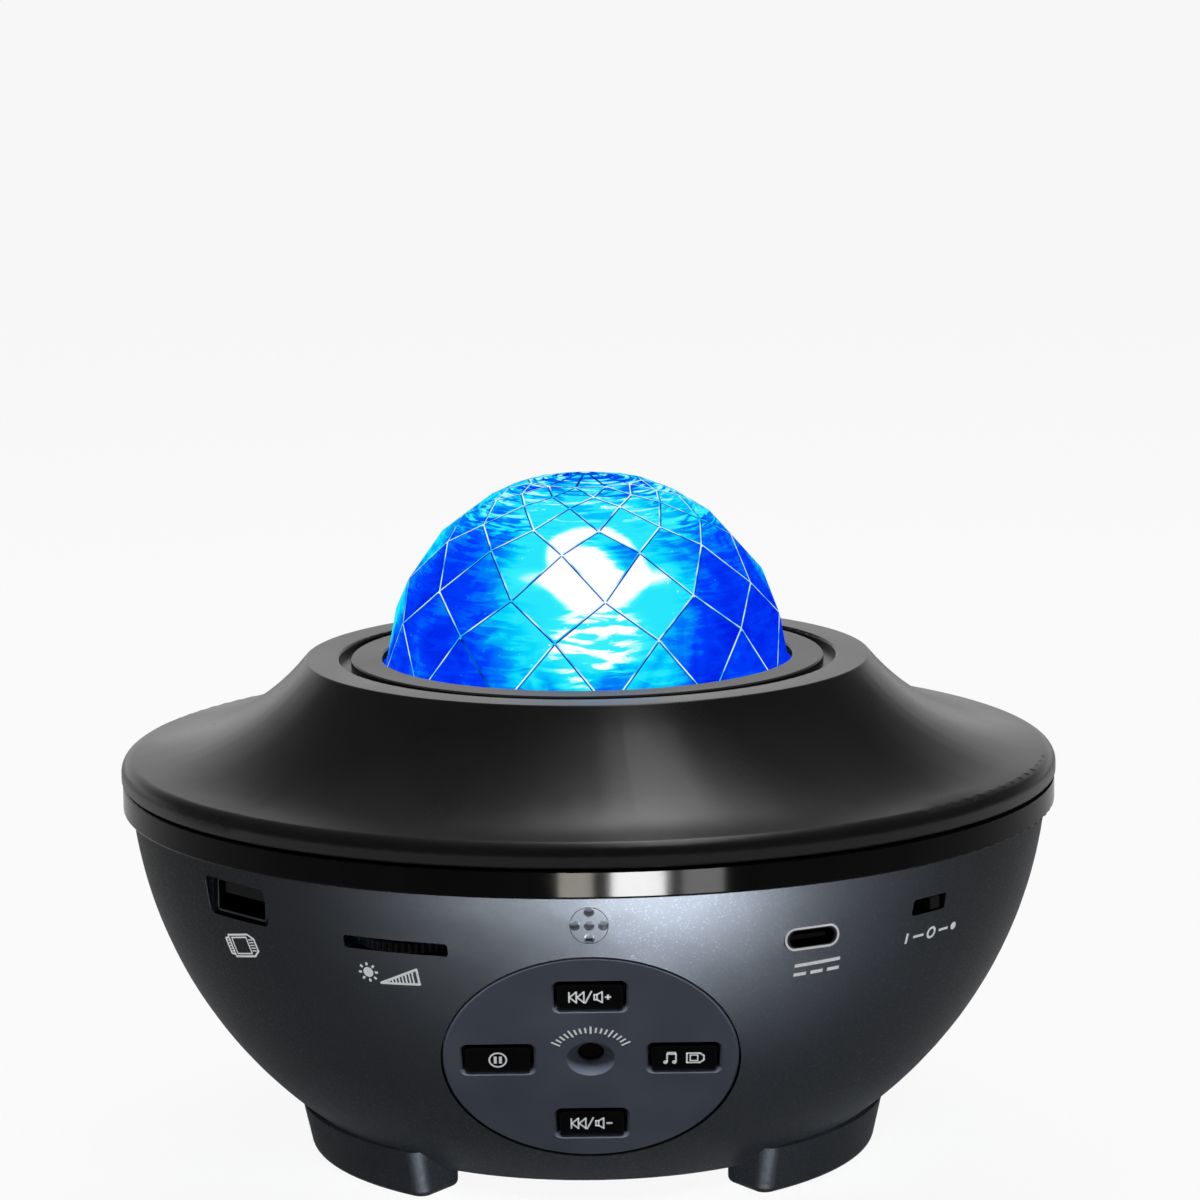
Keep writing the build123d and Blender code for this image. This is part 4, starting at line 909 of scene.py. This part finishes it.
@dataclass
class Dome:
    """Faceted dome: flat diamonds that meet at small rounded edges."""

    node: str = "faceted_dome"
    sphere_radius: float = 36.1 * MM
    wall: float = 2.8 * MM
    edge_round: float = 0.24 * MM
    edge_angle: float = 4.0  # degrees, over which an edge is rounded
    flat_angle: float = 0.4  # degrees, under which two triangles are one facet
    facing: float = 0.9  # how squarely a facet looks out from the centre
    seed_steps: Triple = (0.618, 0.414, 0.732)

    def build(self) -> bpy.types.Object:
        """Builds the dome from the CAD node's own facets.

        Returns:
            The dome.
        """
        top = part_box(self.node)[1].z
        centre = Vector((0, 0, top - self.sphere_radius))
        mesh = merged_copy(self.node)
        bmesh.ops.dissolve_limit(
            mesh,
            angle_limit=radians(self.flat_angle),
            use_dissolve_boundaries=False,
            verts=mesh.verts,
            edges=mesh.edges,
        )
        self.number_facets(mesh, centre)
        self.round_edges(mesh, centre)
        finishes = (
            LitFacet("dome_acrylic", centre),
            LitEdge("dome_edge_lit", srgb(30, 190, 255), srgb(225, 255, 255)),
            LitEdge("dome_edge_dim", srgb(0, 30, 150), srgb(0, 90, 200)),
        )
        piece = new_piece("dome_shell", mesh, "root", "dome_acrylic", *[f.material() for f in finishes])
        self.spare(piece, "lid", "dome_bezel")
        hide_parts(self.node)
        return piece

    def number_facets(self, mesh: bmesh.types.BMesh, centre: Vector) -> None:
        """Makes the outside's facets flat in shade, each with a number of its own from 0 to 1.

        Args:
            mesh: the dome's mesh.
            centre: the centre of the dome's sphere.
        """
        number = mesh.faces.layers.float.new("facet")
        for face in [f for f in mesh.faces if self.is_facet(f, centre)]:
            face.smooth = False
            steps = zip(self.seed_steps, face.calc_center_median() - centre)
            face[number] = sum(step * abs(part) / MM for step, part in steps) % 1.0

    def round_edges(self, mesh: bmesh.types.BMesh, centre: Vector) -> None:
        """Rounds the edges between facets, and gives the strips on each side of an edge painted light of
        their own: dim where the facet they border lies below them, lit elsewhere.

        Args:
            mesh: the dome's mesh.
            centre: the centre of the dome's sphere.
        """
        outer = [f for f in mesh.faces if self.is_facet(f, centre)]
        edges = [
            edge
            for edge in {edge for face in outer for edge in face.edges}
            if len(edge.link_faces) == 2
            and edge.calc_face_angle(0) > radians(self.edge_angle)
            and all(self.is_facet(face, centre) for face in edge.link_faces)
        ]
        made = bmesh.ops.bevel(
            mesh,
            geom=edges,
            offset=self.edge_round,
            offset_type="OFFSET",
            segments=2,
            profile=0.5,
            affect="EDGES",
            material=-1,
            clamp_overlap=True,
        )
        strips = set(made["faces"])
        for face in strips:
            sides = [other for edge in face.edges for other in edge.link_faces if other not in strips]
            below = sides and sides[0].calc_center_median().z < face.calc_center_median().z
            face.material_index = 2 if below else 1
            face.smooth = True

    def spare(self, piece: bpy.types.Object, *nodes: str) -> None:
        """Keeps the dome's light and its reflection off some CAD nodes.

        Args:
            piece: the dome.
            nodes: the CAD nodes' names.
        """
        spared = bpy.data.collections.new("dome_light_spared")
        for node in nodes:
            spared.objects.link(shown(node))
        piece.visible_glossy = False
        piece.light_linking.receiver_collection = spared
        for entry in spared.collection_objects:
            entry.light_linking.link_state = "EXCLUDE"

    def is_facet(self, face: bmesh.types.BMFace, centre: Vector) -> bool:
        """Tells whether a face is one of the outside's flat facets.

        Args:
            face: the face.
            centre: the centre of the dome's sphere.

        Returns:
            Whether it is.
        """
        middle = face.calc_center_median()
        reach = middle - centre
        outward = reach.normalized().dot(face.normal) > self.facing
        return outward and reach.length > self.sphere_radius - 0.6 * self.wall and middle.z > centre.z


# ------------------------------------------------------------------ printed marks


class Surface:
    """A place that marks are printed on: maps right, up and out in metres to a point."""

    def at(self, right: float, up: float, out: float) -> Vector:
        """Finds the point at an offset from the mark's centre.

        Args:
            right: metres to the right.
            up: metres up.
            out: metres out of the surface.

        Returns:
            The point.
        """
        raise NotImplementedError


@dataclass
class BowlSurface(Surface):
    """A place on the bowl's outside wall."""

    azimuth: float
    height: float
    turn: float = 0.0  # degrees, positive lifts the mark's right end
    arc: BowlArc = BowlArc()

    def at(self, right: float, up: float, out: float) -> Vector:
        """Finds the point at an offset along the wall, which curves, and out from it.

        Args:
            right: metres to the right.
            up: metres up.
            out: metres out of the wall.

        Returns:
            The point.
        """
        lean = radians(self.turn)
        right, up = right * cos(lean) - up * sin(lean), right * sin(lean) + up * cos(lean)
        centre_radius, centre_height = self.arc.centre()
        fall = asin((centre_height - self.height) / self.arc.radius) - up / self.arc.radius
        reach = self.arc.radius + out
        wall = centre_radius + self.arc.radius * cos(fall)
        azimuth = self.azimuth + right / wall * 180 / pi
        return polar(centre_radius + reach * cos(fall), azimuth, centre_height - reach * sin(fall))


@dataclass
class FlatSurface(Surface):
    """A flat face that looks out at an azimuth, tilted below level."""

    origin: Vector
    tilt: float  # degrees that the face looks below level
    azimuth: float = 0.0

    def axes(self) -> tuple[Vector, Vector, Vector]:
        """Finds the face's own directions.

        Returns:
            The directions to the right, up and out of it.
        """
        lean = radians(self.tilt)
        outward = polar(cos(lean), self.azimuth, -sin(lean))
        right = polar(1.0, self.azimuth + 90)
        return right, outward.cross(right), outward

    def at(self, right: float, up: float, out: float) -> Vector:
        """Finds the point at an offset in the face's plane and out from it.

        Args:
            right: metres to the right.
            up: metres up.
            out: metres out of the face.

        Returns:
            The point.
        """
        along, upward, outward = self.axes()
        return self.origin + along * right + upward * up + outward * out


def face_of(node: str, azimuth: float, tilt: float) -> FlatSurface:
    """Finds the outermost face of a CAD node in one direction.

    Args:
        node: the node's name.
        azimuth: the azimuth that the face looks out at, in degrees.
        tilt: degrees that it looks below level.

    Returns:
        The face, with its origin in the middle of its rim.
    """
    outward = FlatSurface(Vector(), tilt, azimuth).axes()[2]
    points = [v.co for v in frame["nodes"][node].data.vertices]
    reach = max(p.dot(outward) for p in points)
    rim = [p for p in points if p.dot(outward) > reach - FLATNESS]
    middle = (Vector(map(min, zip(*rim))) + Vector(map(max, zip(*rim)))) / 2
    return FlatSurface(middle + outward * (reach - middle.dot(outward)), tilt, azimuth)


def around(radius: float, angle: float) -> Point:
    """Flat point at a radius and an angle in degrees from the right."""
    return radius * cos(radians(angle)), radius * sin(radians(angle))


@dataclass
class Stencil:
    """Flat shapes drawn in millimetres, cut fine enough to follow a curved wall, then printed."""

    lift: float = 0.015 * MM
    thickness: float = 0.03 * MM
    cut_pitch: float = 0.6  # mm
    joint_sides: int = 10
    arc_step: float = 12.0  # degrees
    mesh: bmesh.types.BMesh = field(default_factory=bmesh.new)

    def polygon(self, *points: Point) -> None:
        """Adds a filled outline.

        Args:
            points: its corners in order.
        """
        corners = [self.mesh.verts.new((x, y, 0)) for x, y in points]
        face = self.mesh.faces.new(corners)
        if face.calc_center_median().z == 0 and face.normal.z < 0:
            face.normal_flip()

    def bar(self, start: Point, end: Point, width: float) -> None:
        """Adds a straight bar.

        Args:
            start: the middle of its one end.
            end: the middle of its other end.
            width: its width.
        """
        a, b = Vector((*start, 0)), Vector((*end, 0))
        side = (b - a).normalized().cross(UP) * width / 2
        self.polygon(*[(p.x, p.y) for p in (a + side, b + side, b - side, a - side)])

    def path(self, points: list[Point], width: float, closed: bool = False) -> None:
        """Adds a line of bars with round joints.

        Args:
            points: the points it passes through.
            width: its width.
            closed: whether it returns to its first point.
        """
        stops = points + points[:1] if closed else points
        for start, end in zip(stops, stops[1:]):
            self.bar(start, end, width)
        for x, y in points:
            self.disc((x, y), width / 2, self.joint_sides)

    def disc(self, centre: Point, radius: float, sides: int = 24) -> None:
        """Adds a filled circle."""
        turn = Matrix.Translation((*centre, 0))
        bmesh.ops.create_circle(self.mesh, cap_ends=True, radius=radius, segments=sides, matrix=turn)

    def ring(
        self, centre: Point, radius: float, width: float, start: float = 0.0, sweep: float = 360.0
    ) -> None:
        """Adds a ring, or an arc of it.

        Args:
            centre: its centre.
            radius: its middle radius.
            width: its width.
            start: the angle it starts at, in degrees from the right.
            sweep: the angle it runs through, in degrees.
        """
        steps = max(6, int(sweep / self.arc_step))
        angles = [radians(start + sweep * step / steps) for step in range(steps + 1)]
        inner, outer = radius - width / 2, radius + width / 2
        x, y = centre
        for a, b in zip(angles, angles[1:]):
            self.polygon(
                (x + inner * cos(a), y + inner * sin(a)),
                (x + outer * cos(a), y + outer * sin(a)),
                (x + outer * cos(b), y + outer * sin(b)),
                (x + inner * cos(b), y + inner * sin(b)),
            )

    def print_on(self, name: str, surface: Surface, body: str, slot: str) -> bpy.types.Object:
        """Lays the shapes on a surface.

        Args:
            name: the piece's name.
            surface: where they go.
            body: the CAD body they ride on.
            slot: the record's material slot of what carries them.

        Returns:
            The printed piece.
        """
        bmesh.ops.recalc_face_normals(self.mesh, faces=self.mesh.faces)
        for face in self.mesh.faces:
            face.normal_update()
            if face.normal.z < 0:
                face.normal_flip()
        reach = int(max(max(abs(v.co.x), abs(v.co.y)) for v in self.mesh.verts) / self.cut_pitch) + 1
        for step in range(-reach, reach + 1):
            for normal in (Vector((1, 0, 0)), Vector((0, 1, 0))):
                geometry = self.mesh.verts[:] + self.mesh.edges[:] + self.mesh.faces[:]
                bmesh.ops.bisect_plane(
                    self.mesh, geom=geometry, plane_co=normal * step * self.cut_pitch, plane_no=normal
                )
        raised = bmesh.ops.extrude_face_region(self.mesh, geom=self.mesh.faces[:])
        top = {v for v in raised["geom"] if isinstance(v, bmesh.types.BMVert)}
        for vertex in self.mesh.verts:
            out = self.lift + (self.thickness if vertex in top else 0.0)
            vertex.co = surface.at(vertex.co.x * MM, vertex.co.y * MM, out)
        bmesh.ops.recalc_face_normals(self.mesh, faces=self.mesh.faces)
        return new_piece(name, self.mesh, body, slot, Finish.WHITE_INK.material())


@dataclass
class WallMarks:
    """White marks printed under the openings in the bowl's wall."""

    stroke: float = 0.32  # mm

    def build(self) -> None:
        """Prints each mark."""
        self.device(BowlSurface(-48.1, 48.0 * MM, 11.0))
        self.sun(BowlSurface(-27.75, 47.4 * MM, 3.0))
        self.ramp(BowlSurface(-23.65, 47.2 * MM, 3.0))
        self.direct_current(BowlSurface(28.6, 47.2 * MM, 2.0))
        self.switch_places(BowlSurface(46.6, 49.3 * MM))
        self.inlet_ring()

    def device(self, spot: Surface) -> None:
        """A hand-held device: a screen in a rounded body, with a ribbed grip at each end.

        Args:
            spot: where it goes.
        """
        mark = Stencil()
        body = [(-3.2, 2.0), (2.5, 2.0), (3.9, 1.1), (3.9, -1.1), (2.5, -2.0), (-3.2, -2.0)]
        mark.path(body, self.stroke * 1.1, True)
        mark.path([(-2.4, 1.5), (1.9, 1.5), (1.9, -1.5), (-2.4, -1.5)], self.stroke * 0.8, True)
        mark.path([(-3.2, 1.6), (-4.3, 1.4), (-4.3, -1.4), (-3.2, -1.6)], self.stroke * 1.1)
        for rib in range(-2, 3):
            mark.bar((2.3, rib * 0.5), (3.5, rib * 0.5), self.stroke * 0.6)
            mark.bar((-4.1, rib * 0.5), (-3.4, rib * 0.5), self.stroke * 0.6)
        mark.print_on("mark_device", spot, "root", "bowl_plastic")

    def sun(self, spot: Surface) -> None:
        """A sun: a disc and eight rays.

        Args:
            spot: where it goes.
        """
        mark = Stencil()
        disc, near, far, rays = 0.92, 1.25, 1.80, 8
        mark.disc((0, 0), disc)
        for ray in range(rays):
            mark.bar(around(near, 360 / rays * ray), around(far, 360 / rays * ray), self.stroke * 1.3)
        mark.print_on("mark_sun", spot, "root", "bowl_plastic")

    def ramp(self, spot: Surface) -> None:
        """A wedge of bars that grows to the right.

        Args:
            spot: where it goes.
        """
        mark = Stencil()
        reach, rise, inset, bars = 3.5, 1.4, 0.3, 10
        mark.path([(-reach, -rise), (reach, rise), (reach, -rise)], self.stroke * 1.3, True)
        for step in range(1, bars):
            x = (reach - inset) * (2 * step / bars - 1)
            mark.bar((x, -rise), (x, x * rise / reach), self.stroke * 0.9)
        mark.print_on("mark_ramp", spot, "root", "bowl_plastic")

    def direct_current(self, spot: Surface) -> None:
        """The sign for direct current: one long bar over three short ones.

        Args:
            spot: where it goes.
        """
        mark = Stencil()
        mark.bar((-4.3, 0.9), (4.3, 0.9), self.stroke * 1.9)
        for step in (-1, 0, 1):
            mark.bar((3.15 * step - 1.15, -0.8), (3.15 * step + 1.15, -0.8), self.stroke * 1.9)
        mark.print_on("mark_direct_current", spot, "root", "bowl_plastic")

    def switch_places(self, spot: Surface) -> None:
        """A bar, a ring and a dot for the switch's three places, with dashes between them.

        Args:
            spot: where it goes.
        """
        mark = Stencil()
        mark.bar((-6.1, -0.95), (-6.1, 0.95), self.stroke * 1.5)
        mark.ring((0, 0), 0.9, self.stroke * 1.4)
        mark.disc((6.1, 0), 0.7)
        for side in (-1, 1):
            mark.bar((2.0 * side, 0), (4.5 * side, 0), self.stroke * 1.4)
        mark.print_on("mark_switch_places", spot, "root", "bowl_plastic")

    def inlet_ring(self) -> None:
        """A thin light line round the mouth of the supply inlet."""
        mark = Stencil()
        reach, radius, width = 3.18, 1.72, self.stroke * 1.2
        mark.ring((reach, 0), radius, width, -90, 180)
        mark.ring((-reach, 0), radius, width, 90, 180)
        for side in (-1, 1):
            mark.bar((-reach, radius * side), (reach, radius * side), width)
        mark.print_on("mark_inlet_ring", face_of("usb_c_socket", 27.3, 0), "root", "port_metal")


@dataclass
class KeyMarks:
    """White marks on the four keys and the ring of ticks over the receiver."""

    tilt: float = 31.497  # degrees that the keys look below level
    stroke: float = 0.25  # mm
    breadth: float = 1.12  # how much wider than drawn
    rise: float = 1.30  # how much taller than drawn
    ticks: int = 17
    tick_spread: float = 116.0  # degrees
    tick_radius: float = 6.8  # mm
    long_tick: float = 0.85  # mm from its middle to its end
    short_tick: float = 0.6

    def build(self) -> None:
        """Prints each mark on its key's face."""
        draw = {"up": self.louder, "down": self.quieter, "left": self.pause, "right": self.player}
        for side, drawn in draw.items():
            mark = Stencil()
            drawn(mark)
            bmesh.ops.scale(mark.mesh, vec=(self.breadth, self.rise, 1.0), verts=mark.mesh.verts)
            face = face_of("button_" + side, 0, self.tilt)
            mark.print_on("mark_key_" + side, face, "key_" + side, "key_plastic")
        self.receiver_ticks()

    def louder(self, mark: Stencil) -> None:
        """Draws the quieter key's sign, its minus crossed to a plus."""
        self.quieter(mark)
        mark.bar((2.6, 0.45), (2.6, -0.45), self.stroke * 1.2)

    def quieter(self, mark: Stencil) -> None:
        """Two arrowheads, a slash, a loudspeaker and a minus.

        Args:
            mark: what it is drawn on.
        """
        w = self.stroke
        for x in (-3.0, -1.9):
            mark.path([(x + 1.0, 0.95), (x, 0.0), (x + 1.0, -0.95)], w, True)
        mark.bar((-3.05, 0.95), (-3.05, -0.95), w)
        mark.bar((-0.75, -1.1), (0.25, 1.1), w)
        horn = [(0.6, 0.45), (1.0, 0.45), (1.75, 0.95), (1.75, -0.95), (1.0, -0.45), (0.6, -0.45)]
        mark.path(horn, w, True)
        mark.bar((1.0, 0.45), (1.0, -0.45), w)
        mark.bar((2.15, 0), (3.05, 0), w * 1.2)

    def pause(self, mark: Stencil) -> None:
        """Two bars in a ring.

        Args:
            mark: what it is drawn on.
        """
        mark.ring((0, 0), 1.25, self.stroke)
        for side in (-1, 1):
            mark.bar((0.38 * side, 0.62), (0.38 * side, -0.62), self.stroke * 1.7)

    def player(self, mark: Stencil) -> None:
        """Two joined notes, then a hand-held device.

        Args:
            mark: what it is drawn on.
        """
        w = self.stroke
        for x in (-2.5, -1.2):
            mark.disc((x - 0.25, -0.75), 0.32, 14)
            mark.bar((x, -0.75), (x, 0.85), w)
        mark.bar((-2.5, 0.85), (-1.2, 0.85), w * 2)
        mark.path([(0.4, 0.85), (2.3, 0.85), (2.9, 0.4), (2.9, -0.4), (2.3, -0.85), (0.4, -0.85)], w, True)
        mark.path([(0.9, 0.5), (2.0, 0.5), (2.0, -0.5), (0.9, -0.5)], w * 0.8, True)

    def receiver_ticks(self) -> None:
        """An arc of short ticks over the receiver's dish."""
        mark = Stencil()
        for step in range(self.ticks):
            angle = 90 + self.tick_spread * (0.5 - step / (self.ticks - 1))
            reach = self.long_tick if step % 4 == 0 else self.short_tick
            near, far = around(self.tick_radius - reach, angle), around(self.tick_radius + reach, angle)
            mark.bar(near, far, self.stroke * 1.3)
        mark.print_on("mark_receiver", face_of("control_panel", 0, self.tilt), "root", "panel_plastic")


# ------------------------------------------------------------------ studio


@dataclass(frozen=True)
class Lamp:
    """A soft rectangular lamp."""

    name: str
    place: Triple
    aim: Triple
    size: Point  # width and height
    power: float  # watts
    nodes: tuple[str, ...] = ()  # the CAD nodes that it shines on, or none for all of them
    colour: Triple = EVEN
    turn: float = 0.0  # degrees about its beam
    mirrored: bool = True  # whether glossy surfaces show it
    diffuse: bool = False  # whether it lights dull surfaces

    def hang(self) -> bpy.types.Object:
        """Hangs the lamp.

        Returns:
            The lamp.
        """
        data = bpy.data.lights.new(self.name, "AREA")
        data.shape, data.size, data.size_y, data.energy = "RECTANGLE", *self.size, self.power
        data.color = self.colour
        lamp = bpy.data.objects.new(self.name, data)
        bpy.context.scene.collection.objects.link(lamp)
        lamp.location = self.place
        facing = (Vector(self.aim) - Vector(self.place)).to_track_quat("-Z", "Y").to_matrix()
        lamp.rotation_euler = (facing @ Matrix.Rotation(radians(self.turn), 3, "Z")).to_euler()
        lamp.visible_camera = False
        lamp.visible_glossy = self.mirrored
        lamp.visible_diffuse = self.diffuse
        if self.nodes:
            lit = bpy.data.collections.new(self.name + "_lit")
            for node in self.nodes:
                lit.objects.link(shown(node))
            lamp.light_linking.receiver_collection = lit
        return lamp


BOWL = ("bowl_housing", "mic_insert")
PANEL = ("control_panel", "button_up", "button_down", "button_left", "button_right")
BAND = ("trim_band",)
COOL: Triple = (0.79, 0.88, 1.0)
WARM: Triple = (1.0, 0.95, 0.84)
LAMPS = (
    Lamp("overhead_lamp", (0, 0.25, 1.1), (0, 0, 0.08), (0.9, 0.7), 6.0, mirrored=False, diffuse=True),
    Lamp("lid_lamp", (0.12, 0.42, 1.0), (0.12, 0.42, 0), (0.13, 1.40), 2.6, ("lid",), turn=6.0),
    Lamp("front_lamp", (0.15, -0.52, 0.04), (0.02, 0, 0.05), (0.12, 0.05), 214.0, BOWL, COOL),
    Lamp("front_left_lamp", (-0.13, -0.52, 0.04), (-0.01, 0, 0.05), (0.20, 0.05), 88.0, BOWL, COOL),
    Lamp("front_low_card", (0.06, -0.26, 0.003), (0.06, -0.26, 1.0), (0.10, 0.24), 16.0, BOWL, COOL),
    Lamp("panel_lamp", (0.02, -0.42, 0.50), (0, -0.07, 0.03), (0.20, 0.10), 9.0, PANEL, diffuse=True),
    Lamp("band_card", (0.0475, -0.275, 0.02), (0.005, -0.082, 0.064), (0.053, 0.03), 0.72, BAND),
    Lamp("band_warm_card", (-0.013, -0.275, 0.02), (0, -0.082, 0.064), (0.033, 0.03), 0.13, BAND, WARM),
    Lamp("band_second_card", (0.113, -0.265, 0.02), (0.01, -0.082, 0.064), (0.044, 0.03), 0.09, BAND),
)


@dataclass
class Studio:
    """Pale floor, sky, soft lamps and the camera."""

    lens: float = 137.0  # mm
    camera_place: Vector = field(default_factory=lambda: Vector((2.37, -794.1, 228.7)) * MM)
    camera_fall: float = 9.411  # degrees below level
    camera_roll: float = -0.675  # degrees
    floor_size: float = 60.0
    floor_colour: Colour = (0.90, 0.90, 0.90, 1.0)
    floor_glow: float = 0.92
    floor_gleam: float = 0.15  # the same glow, as glossy surfaces see it
    sky: Point = (0.08, 1.08)  # strength overhead, and low behind the object
    sky_axis: Triple = (-0.10, 1.0, -0.8)  # points to the strong part
    sky_edge: Point = (0.45, 0.93)  # reach along the axis over which it sets in
    lamps: tuple[Lamp, ...] = LAMPS

    def build(self) -> None:
        """Sets up the stage."""
        self.floor()
        self.hang_sky()
        for lamp in self.lamps:
            lamp.hang()
        self.camera()
        bpy.context.scene.view_settings.view_transform = "Standard"

    def floor(self) -> None:
        """Lays a wide pale floor that keeps the object's shadow."""
        mesh = bmesh.new()
        bmesh.ops.create_grid(mesh, x_segments=1, y_segments=1, size=self.floor_size / 2)
        data = bpy.data.meshes.new("floor")
        mesh.to_mesh(data)
        mesh.free()
        floor = bpy.data.objects.new("floor", data)
        bpy.context.scene.collection.objects.link(floor)
        made = Shader("floor_paint", self.floor_colour, 0.9)
        made.set(Specular_IOR_Level=0.0)
        paths = made.node("ShaderNodeLightPath")
        seen = Value(made, paths.outputs["Is Camera Ray"]) * self.floor_glow
        seen = seen.larger(Value(made, paths.outputs["Is Glossy Ray"]) * self.floor_gleam)
        seen = seen.larger(Value(made, paths.outputs["Is Transmission Ray"]) * self.floor_glow)
        lit = made.node("ShaderNodeEmission", {}, {"Color": WHITE, "Strength": 1.0})
        parts = {0: seen, 1: made.surface.outputs[0], 2: lit.outputs[0]}
        made.feed(made.end.inputs["Surface"], made.node("ShaderNodeMixShader", {}, parts).outputs[0])
        dress(floor, made.material)

    def hang_sky(self) -> None:
        """Gives pale light that is strong low behind the object and weak elsewhere."""
        world = bpy.data.worlds.new("studio_sky")
        bpy.context.scene.world = world
        world.use_nodes = True
        nodes, links = world.node_tree.nodes, world.node_tree.links
        where = nodes.new("ShaderNodeTexCoord")
        behind = nodes.new("ShaderNodeVectorMath")
        behind.operation = "DOT_PRODUCT"
        behind.inputs[1].default_value = self.sky_axis
        share = nodes.new("ShaderNodeMapRange")
        share.interpolation_type = "SMOOTHSTEP"
        light = next(n for n in nodes if n.type == "BACKGROUND")
        for name, value in zip(("From Min", "From Max", "To Min", "To Max"), (*self.sky_edge, *self.sky)):
            share.inputs[name].default_value = value
        light.inputs["Color"].default_value = WHITE
        links.new(where.outputs["Generated"], behind.inputs[0])
        links.new(behind.outputs["Value"], share.inputs["Value"])
        links.new(share.outputs[0], light.inputs["Strength"])

    def camera(self) -> None:
        """Sets the camera at the object's front, slightly above it."""
        data = bpy.data.cameras.new("camera")
        data.lens, data.sensor_width = self.lens, SENSOR
        camera = bpy.data.objects.new("camera", data)
        bpy.context.scene.collection.objects.link(camera)
        fall = Matrix.Rotation(radians(90 - self.camera_fall), 4, "X")
        roll = Matrix.Rotation(radians(self.camera_roll), 4, "Z")
        camera.matrix_world = Matrix.Translation(self.camera_place) @ fall @ roll
        bpy.context.scene.camera = camera


# ------------------------------------------------------------------ all of it


def main() -> None:
    """Builds the looks in order."""
    CarriedNodes(left_out=("faceted_dome", "lid")).build()
    SmoothedNode("lid", "lid_plastic", Finish.LID).build()
    Dome().build()
    WallMarks().build()
    KeyMarks().build()
    Studio().build()


if __name__ == "__main__":
    logging.basicConfig(level=logging.INFO)
    main()
